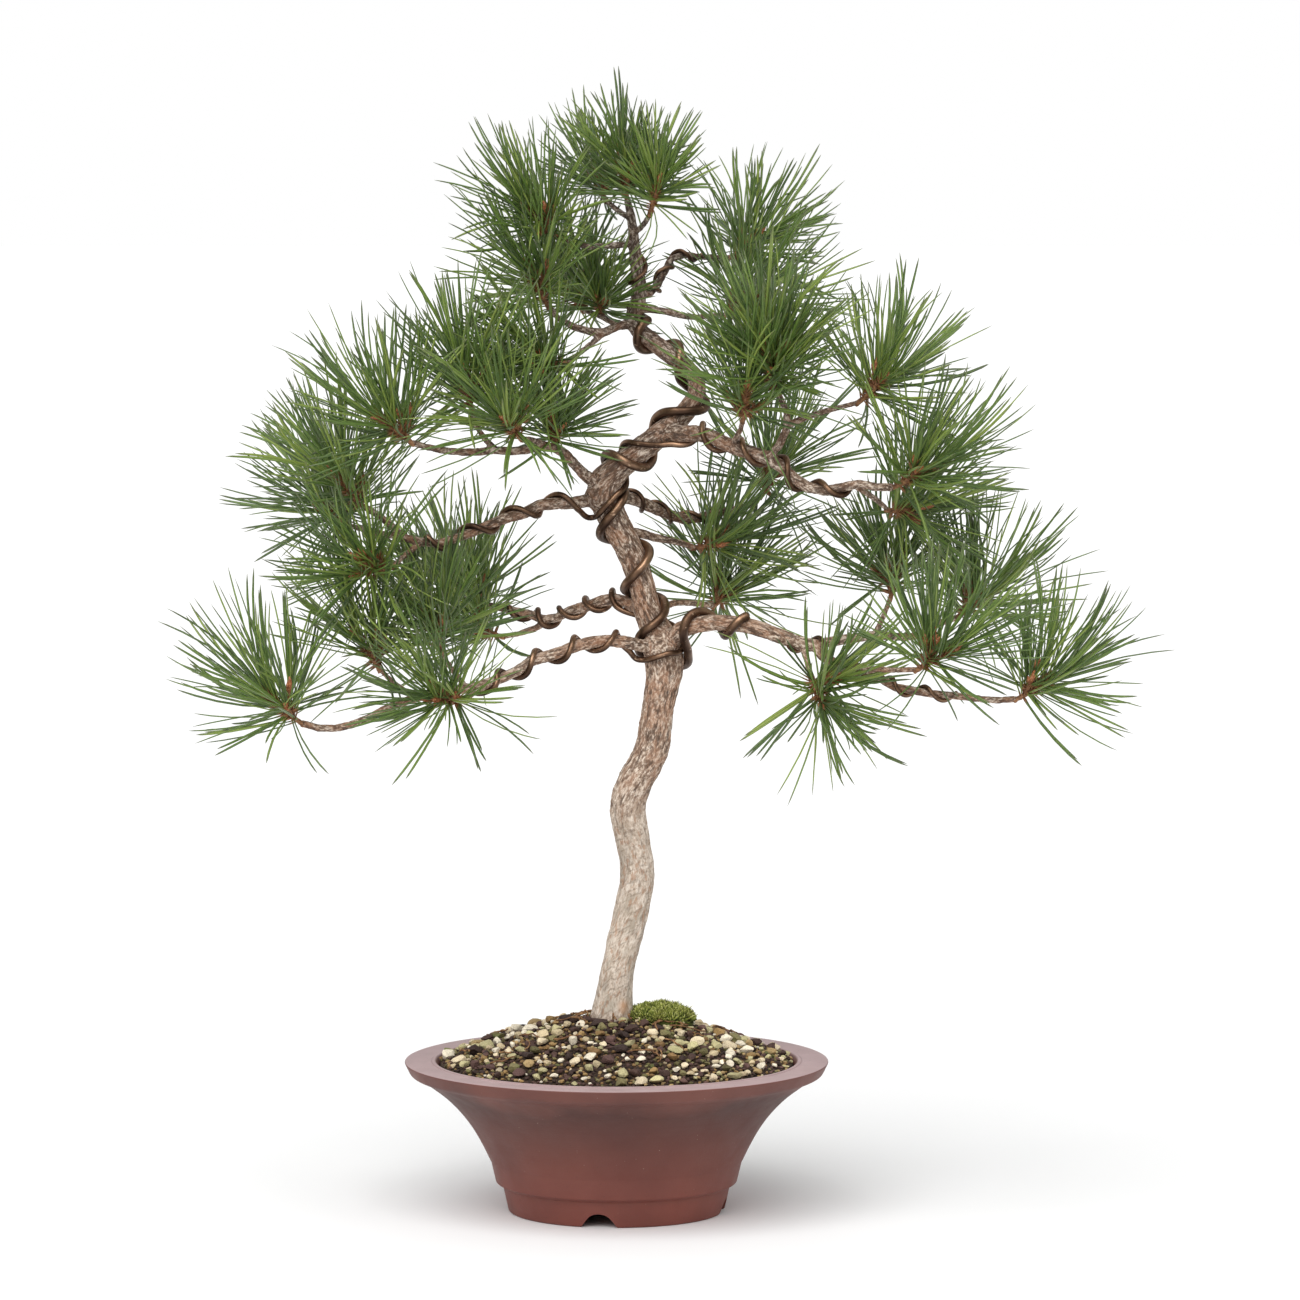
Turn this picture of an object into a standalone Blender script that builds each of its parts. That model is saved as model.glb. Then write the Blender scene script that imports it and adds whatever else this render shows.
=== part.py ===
"""A two-needle pine bonsai in a round, flared clay pot.

Metres, +Z up. The pot's foot stands on z = 0, and the front of the tree faces -Y.
Routes of stems are hand-drawn, in millimetres from the pot's axis at the level of its rim.
"""

import math
import random

import bmesh
import bpy
import numpy as np
from mathutils import Vector, noise

MM = 0.001
GAP = 0.3 * MM

# Pot
POT_HEIGHT = 86 * MM
RIM_RADIUS = 120 * MM
RIM_TOP_WIDTH = 17.5 * MM
RIM_FACE_HEIGHT = 7.4 * MM
RIM_FACE_SLANT = 3.5 * MM
NECK_RADIUS = 109.8 * MM
NECK_DROP = 10.2 * MM
WAIST_RADIUS = 71.8 * MM
WAIST_HEIGHT = 30 * MM
BAND_LEDGE = 1 * MM
BAND_FOOT_RADIUS = 68.1 * MM
FOOT_STEP_HEIGHT = 16 * MM
FOOT_TOP_RADIUS = 64.3 * MM
FOOT_RADIUS = 61 * MM
FOOT_RING_WIDTH = 11 * MM
FOOT_RECESS = 9 * MM
FOOT_EDGE = 1.2 * MM
FLOOR_THICKNESS = 7 * MM
WALL = 8 * MM
FLOOR_CORNER = (8 * MM, 5 * MM)
LIP_THROAT = (2.6 * MM, 3.5 * MM)
FLARE_STEPS = 5
FLARE_STEADY_SHARE = 0.58
NOTCH_WIDTH = 21 * MM
NOTCH_CROWN_WIDTH = 7 * MM
NOTCH_HEIGHT = 8 * MM
NOTCH_TURN = math.radians(-7.6)
NOTCH_COUNT = 4
DRAIN_RADIUS = 13 * MM
TIE_HOLE_RADIUS = 2.5 * MM
TIE_HOLE_OFFSET = 30 * MM
POT_SEGMENTS = 40

# Drainage mesh, its clip and the wire that ties the roots down
SCREEN_HOLES = 5
SCREEN_HOLE = 4.6 * MM
SCREEN_BAR = 1.6 * MM
SCREEN_THICKNESS = 1.2 * MM
CLIP_RADIUS = 0.8 * MM
CLIP_HOLE_STEPS = 1
CLIP_TAIL = 12 * MM
CLIP_BEND = 1.6 * MM
TIE_RADIUS = 1 * MM
TIE_TAIL = 9 * MM
TIE_SHOULDER = 26 * MM
TIE_CROWN = 11 * MM
TIE_FRONT = 19 * MM
TIE_BEND = 2.6 * MM

# Soil and moss
MOUND_RISE = 24 * MM
MOUND_EDGE_DROP = 2 * MM
MOUND_POWER = 1.5
MOUND_RINGS = 7
MOUND_BUMP = 1.1 * MM
MOSS_CENTRE = (24 * MM, 3 * MM)
MOSS_SIZE = (20 * MM, 16 * MM, 8.5 * MM)

# Tree
TREE_SCALE = 1.0
GIRTH = 1.0
STEM_STEP = 10 * MM
TWIG_RADIUS = 2.9 * MM
TRUNK_SIDES = 10
BRANCH_SIDES = 8
TWIG_SIDES = 6
ROOT_SIDES = 8
BURIED_RINGS = 8
ROOT_COUNT = 5
ROOT_REACH = 56 * MM
ROOT_RADIUS = 4.2 * MM
ROOT_TIP_RADIUS = 2 * MM
ROOT_TOP = 8 * MM
ROOT_DROP = 22 * MM
ROOT_TURN = math.radians(18)
ROOT_SWING = 0.35

# Training wires
MAIN_WIRE_RADIUS = 2.3 * MM
PAIR_WIRE_RADIUS = 1.5 * MM
TWIG_WIRE_RADIUS = 1.1 * MM
WIRE_STEPS_PER_TURN = 9
WIRE_SIDES = 6

# Needle tufts
NEEDLE_LENGTH = 62 * MM
SHOOT_LENGTH = 24 * MM
SHOOT_RADIUS = 4.2 * MM
SHOOT_LIFT = 0.45
TUFT_SPIKES = 25
SPIKE_SPREAD = math.radians(102)
SPIKE_REAR_LIMIT = -0.72
SPIKE_BASE_SHARE = 0.7
SPIKE_TIP_RADIUS = 0.2 * MM
SPIKE_LENGTHS = (1.0, 0.88, 0.76, 0.64, 0.52, 0.4, 0.3)
NEEDLE_SHARES = {"trunk": 0.84, "trunk.front": 0.84, "trunk.back": 0.84}

# Stems: route points in millimetres, first and last radius in millimetres.
TRUNK_ROUTE = [
    (-3, 0, 2, 13), (-3, 0, 16, 12.8), (-2.5, 0, 26, 11.6), (-1, 0, 37, 10.2), (1, 0, 52, 9.6),
    (5, 2, 69, 9.8), (9, 4, 87, 9.9), (12, 4, 105, 9.6), (9, 2, 124, 9.6), (6, 0, 142, 10.4),
    (8, -2, 153, 10.5), (13, -4, 162, 10), (20, -4, 176, 9.5), (23, -3, 196, 9.4),
    (26, -2, 214, 10), (27, 0, 230, 11.6), (22, 2, 244, 8.7), (18, 3, 253, 8), (14, 4, 269, 7.6),
    (9, 4, 285, 7.8), (0, 3, 302, 8.3), (-6, 2, 315, 9), (-8, 0, 323, 10.2), (-1, -2, 333, 8),
    (12, -4, 343, 7.3), (24, -4, 353, 7), (36, -3, 363, 6), (44, -2, 373, 5.6), (46, 0, 382, 5.3),
    (40, 2, 390, 5.1), (28, 4, 399, 5.1), (17, 5, 408, 5), (9, 6, 413, 5.2), (9, 7, 420, 4.8),
    (13, 8, 430, 4.4), (12, 7, 444, 4), (10, 5, 459, 3.3), (9, 3, 472, 2.6), (6, 1, 485, 1.9),
]
TRUNK_TWIGS = {
    "front": ([(10, 4, 466), (15, -8, 470), (19, -19, 477)], 1.9, 1.5),
    "back": ([(8, 2, 474), (1, 12, 478), (-6, 23, 484)], 1.8, 1.5),
}
BRANCHES = {
    "lower_right": {
        "main": ([(27, 0, 230), (35, -9, 243), (43, -16, 247), (52, -20, 249), (62, -24, 249),
                  (73, -28, 248), (84, -30, 245), (95, -32, 241), (104, -34, 238),
                  (112, -37, 237)], 5.4, 3.9),
        "far": ([(111, -36, 237), (120, -28, 239), (133, -18, 240), (145, -8, 241),
                 (162, 2, 239), (172, 8, 240), (182, 12, 246), (192, 14, 249)], 3.2, 1.9),
        "near": ([(111, -36, 237), (115, -44, 232), (127, -52, 226), (143, -58, 223),
                  (152, -62, 217), (163, -64, 215), (174, -66, 213), (190, -69, 212),
                  (207, -71, 210), (221, -74, 211)], 3.2, 1.8),
        "middle": ([(125, -51, 227), (136, -72, 228), (150, -86, 228), (165, -95, 229)], 2.2, 1.6),
        "under": ([(103, -34, 238), (106, -42, 229), (108, -49, 220)], 1.9, 1.5),
        "rise": ([(145, -8, 241), (150, -2, 251), (154, 3, 261)], 1.9, 1.5),
    },
    "lower_left": {
        "main": ([(27, 0, 230), (14, -9, 235), (4, -17, 238), (-8, -24, 239), (-22, -32, 237),
                  (-33, -38, 233), (-46, -44, 230), (-55, -48, 224), (-67, -52, 219),
                  (-83, -58, 215), (-100, -62, 214), (-112, -66, 210), (-123, -70, 207),
                  (-132, -71, 202), (-141, -72, 198), (-152, -74, 195), (-163, -76, 195),
                  (-173, -78, 198)],
                 4, 2),
        "rise": ([(-110, -65, 211), (-121, -59, 217), (-131, -55, 226)], 1.9, 1.5),
        "front": ([(-66, -52, 219), (-76, -66, 215), (-84, -78, 210)], 1.9, 1.5),
        "middle": ([(-82, -58, 215), (-90, -50, 224), (-97, -44, 234)], 1.9, 1.5),
    },
    "back_left": {
        "main": ([(18, 3, 253), (10, 10, 256), (-2, 24, 259), (-16, 38, 254), (-27, 50, 250),
                  (-39, 60, 244), (-51, 70, 247), (-65, 82, 249), (-79, 94, 251)], 4, 2),
        "low": ([(-38, 59, 244), (-52, 64, 237), (-66, 68, 234)], 2.2, 1.6),
    },
    "mid_left": {
        "main": ([(-7, 1, 318), (-16, -2, 316), (-26, -10, 315), (-41, -18, 315), (-52, -22, 310),
                  (-64, -26, 307), (-75, -30, 302), (-86, -32, 298), (-97, -34, 294),
                  (-108, -36, 295), (-118, -40, 298), (-128, -44, 308), (-140, -50, 316)],
                 4, 1.9),
        "far": ([(-117, -40, 298), (-129, -30, 299), (-141, -20, 301), (-150, -12, 303)], 2.2, 1.6),
        "down": ([(-108, -36, 295), (-116, -46, 289), (-124, -54, 282)], 1.9, 1.5),
    },
    "upper_left": {
        "main": ([(-8, 0, 323), (-15, -6, 328), (-22, -18, 336), (-30, -30, 345), (-40, -40, 349),
                  (-53, -48, 346), (-67, -54, 347), (-80, -60, 346), (-98, -66, 348),
                  (-112, -71, 352)], 3.5, 1.8),
        "rise": ([(-66, -53, 347), (-75, -60, 357), (-79, -65, 369)], 1.9, 1.5),
        "front": ([(-39, -39, 349), (-46, -56, 353), (-52, -70, 354)], 1.9, 1.5),
    },
    "crown_left": {
        "main": ([(9, 6, 413), (0, -2, 414), (-8, -8, 410), (-18, -14, 412), (-30, -20, 417),
                  (-38, -25, 426)], 3, 1.7),
        "low": ([(-7, -7, 410), (-18, -18, 401), (-28, -27, 394)], 1.9, 1.5),
        "back": ([(1, 0, 414), (-9, 14, 419), (-19, 29, 422)], 2, 1.5),
    },
    "top_left": {
        "main": ([(10, 5, 459), (-3, -3, 459), (-12, -10, 458), (-24, -16, 460),
                  (-33, -21, 464)], 2.3, 1.5),
    },
    "top_right": {
        "main": ([(13, 8, 430), (19, 17, 432), (25, 25, 439), (29, 32, 448), (34, 37, 453),
                  (44, 42, 452), (55, 48, 451), (64, 53, 451)], 2.8, 1.6),
    },
    "right_small": {
        "main": ([(10, 7, 421), (22, 8, 423), (33, 13, 420), (44, 19, 418), (54, 24, 419),
                  (62, 28, 419)], 2.4, 1.6),
    },
    "mid_right": {
        "main": ([(23, -4, 352), (35, -14, 354), (44, -23, 355), (54, -32, 353), (64, -38, 348),
                  (75, -44, 345), (85, -48, 342), (94, -50, 336), (101, -52, 329),
                  (111, -54, 325), (122, -56, 325), (130, -58, 329), (143, -60, 327),
                  (153, -62, 327)], 5.4, 2.2),
        "rise": ([(84, -48, 342), (91, -53, 351), (95, -59, 363), (92, -65, 373),
                  (87, -71, 384)], 2.6, 1.7),
        "side": ([(95, -58, 361), (107, -55, 366), (122, -50, 370), (134, -46, 373)], 2.1, 1.5),
        "low": ([(129, -58, 329), (142, -49, 321), (151, -40, 313)], 2, 1.5),
        "inner": ([(63, -38, 348), (68, -50, 356), (70, -61, 364)], 1.9, 1.5),
    },
    "back_right": {
        "main": ([(-5, 2, 314), (2, 12, 317), (8, 20, 316), (15, 28, 313), (22, 36, 309),
                  (31, 44, 305), (40, 52, 302), (48, 58, 303), (57, 66, 305), (67, 72, 306),
                  (76, 78, 309), (83, 84, 314)], 4.2, 2),
    },
    "back_low": {
        "main": ([(2, 3, 298), (8, 11, 298), (15, 17, 296), (24, 24, 293), (34, 30, 291),
                  (44, 36, 287)], 3.1, 1.8),
    },
    "back_twig": {
        "main": ([(19, 3, 251), (27, 11, 256), (36, 22, 257), (47, 38, 255), (55, 50, 253)],
                 2.4, 1.7),
    },
}

FORKED = {"lower_right.main"}

# Each wire lies round stems: (stem, place, turns). A place on the trunk is its height above the
# rim in millimetres, and on a branch the length from its foot. Turn 0 is the stem's front.
WIRES = {
    "main": (MAIN_WIRE_RADIUS, [
        ("lower_right.main", 62, -0.18), ("lower_right.main", 20, 1.22),
        ("trunk", 220, 0.3), ("trunk", 233.5, 0.75), ("trunk", 244, 1), ("trunk", 267, 1.75),
        ("trunk", 301, 2.75), ("trunk", 318, 3.25), ("trunk", 335, 3.75), ("trunk", 339, 4),
        ("trunk", 342.5, 4.22), ("trunk", 350, 4.5), ("trunk", 366, 5),
        ("trunk", 393, 6), ("trunk", 411, 7), ("trunk", 424, 7.6),
    ]),
    "lower_left": (PAIR_WIRE_RADIUS, [
        ("back_left.main", 112, 5.1), ("back_left.main", 20, 0.8),
        ("trunk", 249, 0.5), ("trunk", 240, 0.25), ("trunk", 230, 0), ("trunk", 220, -0.25),
        ("lower_left.main", 24, 0.7), ("lower_left.main", 126, -3.4),
    ]),
    "middle": (PAIR_WIRE_RADIUS, [
        ("mid_left.main", 112, 4.2), ("mid_left.main", 17, 0.75),
        ("trunk", 306.5, -0.25), ("trunk", 315.5, 0), ("trunk", 324.5, 0.25),
        ("trunk", 342, 0.75), ("trunk", 346, 1),
        ("mid_right.main", 16, 0.1), ("mid_right.main", 132, 4.5),
    ]),
    "back_right": (TWIG_WIRE_RADIUS, [
        ("back_right.main", 14, 0.35), ("back_right.main", 96, 3.8),
    ]),
    "crown": (TWIG_WIRE_RADIUS, [
        ("trunk", 456, 1.5), ("trunk", 446, 1.25), ("trunk", 439, 0.9), ("trunk", 436, 0.6),
        ("top_right.main", 14, 0.2), ("top_right.main", 62, 2.6),
    ]),
    "outer_right": (TWIG_WIRE_RADIUS, [
        ("lower_right.main", 88, 0.1), ("lower_right.main", 100, 0.6),
        ("lower_right.near", 14, 0.9), ("lower_right.near", 92, 4.6),
    ]),
}


# Scene, materials and small helpers

def clear_scene():
    for thing in list(bpy.data.objects):
        bpy.data.objects.remove(thing, do_unlink=True)


def new_collection(name):
    made = bpy.data.collections.new(name)
    bpy.context.scene.collection.children.link(made)
    return made


def material(name, colour, roughness, metallic=0.0):
    made = bpy.data.materials.new(name)
    made.use_nodes = True
    shader = made.node_tree.nodes["Principled BSDF"]
    shader.inputs["Base Color"].default_value = (*colour, 1)
    shader.inputs["Roughness"].default_value = roughness
    shader.inputs["Metallic"].default_value = metallic
    made.diffuse_color = (*colour, 1)
    return made


def new_object(name, mesh, collection, finish=None):
    made = bpy.data.objects.new(name, mesh)
    collection.objects.link(made)
    if finish:
        mesh.materials.clear()
        mesh.materials.append(finish)
    return made


def evaluated_mesh(thing):
    bpy.context.view_layer.update()
    graph = bpy.context.evaluated_depsgraph_get()
    return bpy.data.meshes.new_from_object(thing.evaluated_get(graph), depsgraph=graph)


def weld(mesh, distance=1e-6):
    shape = bmesh.new()
    shape.from_mesh(mesh)
    bmesh.ops.remove_doubles(shape, verts=shape.verts, dist=distance)
    bmesh.ops.recalc_face_normals(shape, faces=shape.faces)
    shape.to_mesh(mesh)
    shape.free()


def combine(target, tool, operation):
    """Joins or cuts the target with the tool, then removes the tool."""
    step = target.modifiers.new(operation.title(), "BOOLEAN")
    step.operation = operation
    step.solver = "EXACT"
    step.object = tool
    made = evaluated_mesh(target)
    target.modifiers.clear()
    target.data = made
    bpy.data.objects.remove(tool, do_unlink=True)


def smooth_shading(thing, angle=math.radians(40)):
    thing.data.shade_smooth()
    thing.data.set_sharp_from_angle(angle=angle)


# Routes and tubes

def smooth_route(points, per_span=8):
    """A Catmull-Rom curve through the rows of points."""
    points = np.asarray(points, float)
    first = 2 * points[0] - points[1]
    last = 2 * points[-1] - points[-2]
    ends = np.vstack([first, points, last])
    t = np.linspace(0, 1, per_span, endpoint=False)[:, None]
    spans = []
    for a, b, c, d in zip(ends, ends[1:], ends[2:], ends[3:]):
        curve = 2 * b + (c - a) * t + (2 * a - 5 * b + 4 * c - d) * t**2
        curve = curve + (3 * b - a - 3 * c + d) * t**3
        spans.append(0.5 * curve)
    return np.vstack([*spans, points[-1:]])


def lengths_along(path):
    steps = np.linalg.norm(np.diff(path[:, :3], axis=0), axis=1)
    return np.concatenate([[0], np.cumsum(steps)])


def resample(path, step):
    along = lengths_along(path)
    count = max(3, round(along[-1] / step) + 1)
    at = np.linspace(0, along[-1], count)
    return np.column_stack([np.interp(at, along, column) for column in path.T])


def stem_path(points, first_radius=None, last_radius=None):
    """Rows of x, y, z, radius in metres along a smooth stem."""
    rows = np.asarray(points, float)
    if first_radius is not None:
        share = lengths_along(rows) / lengths_along(rows)[-1]
        radii = first_radius + (last_radius - first_radius) * share
        rows = np.column_stack([rows, radii])
    rows = rows * MM
    rows[:, :3] *= TREE_SCALE
    rows[:, 3] *= GIRTH
    rows[:, 2] += POT_HEIGHT
    return smooth_route(rows)


def tube(name, path, sides, collection, extra=0.0):
    """A closed mesh tube along rows of x, y, z, radius."""
    curve = bpy.data.curves.new(name, "CURVE")
    curve.dimensions = "3D"
    curve.bevel_depth = 1
    curve.bevel_resolution = sides // 2 - 2
    curve.use_fill_caps = True
    spline = curve.splines.new("POLY")
    spline.points.add(len(path) - 1)
    for point, row in zip(spline.points, path):
        point.co = (*row[:3], 1)
        point.radius = row[3] + extra
    guide = new_object(name + "_guide", curve, collection)
    mesh = evaluated_mesh(guide)
    bpy.data.objects.remove(guide, do_unlink=True)
    weld(mesh)
    mesh.name = name
    return new_object(name, mesh, collection)


def capsules(path):
    """Rows of start x, y, z, radius and end x, y, z, radius along a path."""
    return np.hstack([path[:-1], path[1:]])


def closest(first, second):
    """Distance between surfaces of each pair of capsules, and the way from second to first."""
    start_a = first[:, None, 0:3]
    start_b = second[None, :, 0:3]
    run_a = first[:, None, 4:7] - start_a
    run_b = second[None, :, 4:7] - start_b
    between = start_a - start_b
    aa = (run_a * run_a).sum(-1)
    ab = (run_a * run_b).sum(-1)
    bb = (run_b * run_b).sum(-1)
    ad = (run_a * between).sum(-1)
    bd = (run_b * between).sum(-1)
    slope = aa * bb - ab * ab
    s = np.where(slope > 1e-16, (ab * bd - bb * ad) / np.maximum(slope, 1e-16), 0.5).clip(0, 1)
    t = ((ab * s + bd) / np.maximum(bb, 1e-16)).clip(0, 1)
    s = ((ab * t - ad) / np.maximum(aa, 1e-16)).clip(0, 1)
    way = between + s[..., None] * run_a - t[..., None] * run_b
    distance = np.linalg.norm(way, axis=-1)
    radius_a = first[:, None, 3] * (1 - s) + first[:, None, 7] * s
    radius_b = second[None, :, 3] * (1 - t) + second[None, :, 7] * t
    return distance - radius_a - radius_b, way / np.maximum(distance, 1e-9)[..., None]


def pushed_clear(path, obstacles, margin, easing=0.06, rounds=60):
    """The path with its points moved off the obstacles until its tube clears them."""
    path = path.copy()
    for turn in range(rounds):
        pieces = capsules(path)
        space, way = closest(pieces, obstacles)
        short = np.maximum(margin - space, 0)
        if not short.any():
            break
        worst = short.argmax(axis=1)
        rows = np.arange(len(pieces))
        move = way[rows, worst] * short[rows, worst][:, None] * 0.6
        path[:-1, :3] += move
        path[1:, :3] += move
        if turn < rounds // 2:
            middle = 0.5 * (path[:-2, :3] + path[2:, :3])
            path[1:-1, :3] += easing * (middle - path[1:-1, :3])
    return path


# Pot

def flare_radius(height):
    """Outer radius of the flared body at a height between its waist and its neck."""
    neck_height = POT_HEIGHT - NECK_DROP
    share = (height - WAIST_HEIGHT) / (neck_height - WAIST_HEIGHT)
    share = min(max(share, 0), 1)
    bend = FLARE_STEADY_SHARE * share + (1 - FLARE_STEADY_SHARE) * share**3
    return WAIST_RADIUS + (NECK_RADIUS - WAIST_RADIUS) * bend


def inner_wall():
    """Inside of the pot from the floor up to its lip, as radius and height."""
    floor = FOOT_RECESS + FLOOR_THICKNESS
    low = WAIST_RADIUS - WALL
    corner_in, corner_up = FLOOR_CORNER
    points = [(low - corner_in, floor), (low - 1.5 * MM, floor + corner_up)]
    top = POT_HEIGHT - NECK_DROP
    for index in range(FLARE_STEPS + 1):
        height = WAIST_HEIGHT + (top - WAIST_HEIGHT) * index / FLARE_STEPS
        points.append((flare_radius(height) - WALL, height))
    throat_in, throat_down = LIP_THROAT
    points.append((RIM_RADIUS - RIM_TOP_WIDTH - throat_in, POT_HEIGHT - throat_down))
    return points


def pot_profile():
    """Closed outline of the pot's section, from its floor up and over the rim to its foot."""
    floor = FOOT_RECESS + FLOOR_THICKNESS
    neck_height = POT_HEIGHT - NECK_DROP
    outline = [(DRAIN_RADIUS, floor), *inner_wall()]
    outline.append((RIM_RADIUS - RIM_TOP_WIDTH, POT_HEIGHT))
    outline.append((RIM_RADIUS - 1.2 * MM, POT_HEIGHT))
    outline.append((RIM_RADIUS, POT_HEIGHT - 1 * MM))
    face_foot = RIM_RADIUS - RIM_FACE_SLANT
    outline.append((face_foot, POT_HEIGHT - RIM_FACE_HEIGHT))
    outline.append((face_foot - 2 * MM, POT_HEIGHT - RIM_FACE_HEIGHT - 1 * MM))
    for index in range(FLARE_STEPS + 1):
        height = neck_height - (neck_height - WAIST_HEIGHT) * index / FLARE_STEPS
        outline.append((flare_radius(height), height))
    outline.append((WAIST_RADIUS - BAND_LEDGE, WAIST_HEIGHT - 1.4 * MM))
    outline.append((BAND_FOOT_RADIUS, FOOT_STEP_HEIGHT))
    outline.append((FOOT_TOP_RADIUS, FOOT_STEP_HEIGHT - 1.6 * MM))
    outline.append((FOOT_RADIUS, FOOT_EDGE))
    outline.append((FOOT_RADIUS - FOOT_EDGE, 0))
    ring = FOOT_RADIUS - FOOT_RING_WIDTH
    outline.append((ring + FOOT_EDGE, 0))
    outline.append((ring, FOOT_EDGE))
    outline.append((ring, FOOT_RECESS))
    outline.append((DRAIN_RADIUS, FOOT_RECESS))
    return outline


def turned(name, outline, closed, collection):
    """A solid turned round Z from an outline of radius and height."""
    mesh = bpy.data.meshes.new(name)
    shape = bmesh.new()
    corners = [shape.verts.new((radius, 0, height)) for radius, height in outline]
    for first, second in zip(corners, corners[1:]):
        shape.edges.new((first, second))
    if closed:
        shape.edges.new((corners[-1], corners[0]))
    shape.to_mesh(mesh)
    shape.free()
    made = new_object(name, mesh, collection)
    screw = made.modifiers.new("Turn", "SCREW")
    screw.axis = "Z"
    screw.steps = POT_SEGMENTS
    screw.render_steps = POT_SEGMENTS
    screw.use_merge_vertices = True
    screw.merge_threshold = 0.00001
    return made


def cutter(thing):
    thing.hide_render = True
    thing.display_type = "WIRE"
    return thing


def drill(name, x, y, radius, sides):
    mesh = bpy.data.meshes.new(name)
    shape = bmesh.new()
    depth = 4 * (FOOT_RECESS + FLOOR_THICKNESS)
    bmesh.ops.create_cone(
        shape, cap_ends=True, segments=sides, radius1=radius, radius2=radius, depth=depth
    )
    shape.to_mesh(mesh)
    shape.free()
    made = cutter(new_object(name, mesh, cutters))
    made.location = (x, y, 0)
    return made


def notch_cutter(index):
    """An arch-shaped block that opens the foot ring, with hollow shoulders."""
    half = NOTCH_WIDTH / 2
    crown = NOTCH_CROWN_WIDTH / 2
    below = -4 * MM
    side = [
        (half, below), (half, 0), (half - 2.6 * MM, 1.8 * MM),
        (crown + 1.2 * MM, NOTCH_HEIGHT - 2.4 * MM), (crown, NOTCH_HEIGHT - 0.6 * MM),
        (crown - 1.4 * MM, NOTCH_HEIGHT),
    ]
    curve = bpy.data.curves.new(f"notch_outline_{index}", "CURVE")
    curve.dimensions = "2D"
    curve.fill_mode = "BOTH"
    curve.extrude = FOOT_RING_WIDTH
    spline = curve.splines.new("POLY")
    outline = side + [(-x, y) for x, y in reversed(side)]
    spline.points.add(len(outline) - 1)
    for point, (x, y) in zip(spline.points, outline):
        point.co = (x, y, 0, 1)
    spline.use_cyclic_u = True
    guide = new_object(curve.name, curve, cutters)
    mesh = evaluated_mesh(guide)
    bpy.data.objects.remove(guide, do_unlink=True)
    weld(mesh)
    made = cutter(new_object(f"notch_cutter_{index}", mesh, cutters))
    angle = NOTCH_TURN + index * math.tau / NOTCH_COUNT
    reach = FOOT_RADIUS - FOOT_RING_WIDTH / 2
    made.rotation_euler = (math.pi / 2, 0, angle)
    made.location = (reach * math.sin(angle), -reach * math.cos(angle), 0)
    return made


def build_pot():
    pot = turned("pot", pot_profile(), True, parts)
    pot.data.materials.append(clay)
    tools = [
        drill("tie_hole_left", -TIE_HOLE_OFFSET, 0, TIE_HOLE_RADIUS, 10),
        drill("tie_hole_right", TIE_HOLE_OFFSET, 0, TIE_HOLE_RADIUS, 10),
    ]
    tools += [notch_cutter(index) for index in range(NOTCH_COUNT)]
    for tool in tools:
        cut = pot.modifiers.new(tool.name, "BOOLEAN")
        cut.operation = "DIFFERENCE"
        cut.solver = "EXACT"
        cut.object = tool
    return pot


# Inside the pot

def screen_height():
    return FOOT_RECESS + FLOOR_THICKNESS + GAP


def build_screen():
    """The plastic mesh over the drain hole: a lattice plane made solid."""
    mesh = bpy.data.meshes.new("drainage_mesh")
    shape = bmesh.new()
    cells = 2 * SCREEN_HOLES + 1
    bmesh.ops.create_grid(shape, x_segments=cells, y_segments=cells, size=1)
    pitch = SCREEN_HOLE + SCREEN_BAR
    half = (SCREEN_HOLES * pitch + SCREEN_BAR) / 2

    def place(value):
        line = round((value + 1) / 2 * cells)
        return (line // 2) * pitch + (line % 2) * SCREEN_BAR - half

    holes = []
    for face in shape.faces:
        centre = face.calc_center_median()
        column = int((centre.x + 1) / 2 * cells)
        row = int((centre.y + 1) / 2 * cells)
        if column % 2 and row % 2:
            holes.append(face)
    for vert in shape.verts:
        vert.co = (place(vert.co.x), place(vert.co.y), screen_height())
    bmesh.ops.delete(shape, geom=holes, context="FACES")
    shape.to_mesh(mesh)
    shape.free()
    made = new_object("drainage_mesh", mesh, parts, plastic)
    thick = made.modifiers.new("Thickness", "SOLIDIFY")
    thick.thickness = SCREEN_THICKNESS
    thick.offset = 1
    return made


def rounded_corners(points, radius):
    """The polyline with each inner corner turned into a short arc of three points."""
    points = [Vector(point) for point in points]
    path = [points[0]]
    for before, corner, after in zip(points, points[1:], points[2:]):
        back = (before - corner).normalized() * radius
        ahead = (after - corner).normalized() * radius
        path.append(corner + back)
        path.append(corner + 0.3 * (back + ahead))
        path.append(corner + ahead)
    path.append(points[-1])
    return path


def wire_rows(points, radius):
    return np.array([[*point, radius] for point in points])


def clip_path():
    """A staple through the mesh and the drain hole, with its ends bent out under the floor."""
    leg = CLIP_HOLE_STEPS * (SCREEN_HOLE + SCREEN_BAR)
    under = FOOT_RECESS - GAP - CLIP_RADIUS
    over = screen_height() + SCREEN_THICKNESS + GAP + CLIP_RADIUS
    points = [
        (-leg - CLIP_TAIL, 0, under), (-leg, 0, under), (-leg, 0, over),
        (leg, 0, over), (leg, 0, under), (leg + CLIP_TAIL, 0, under),
    ]
    return wire_rows(rounded_corners(points, CLIP_BEND), CLIP_RADIUS)


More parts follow.
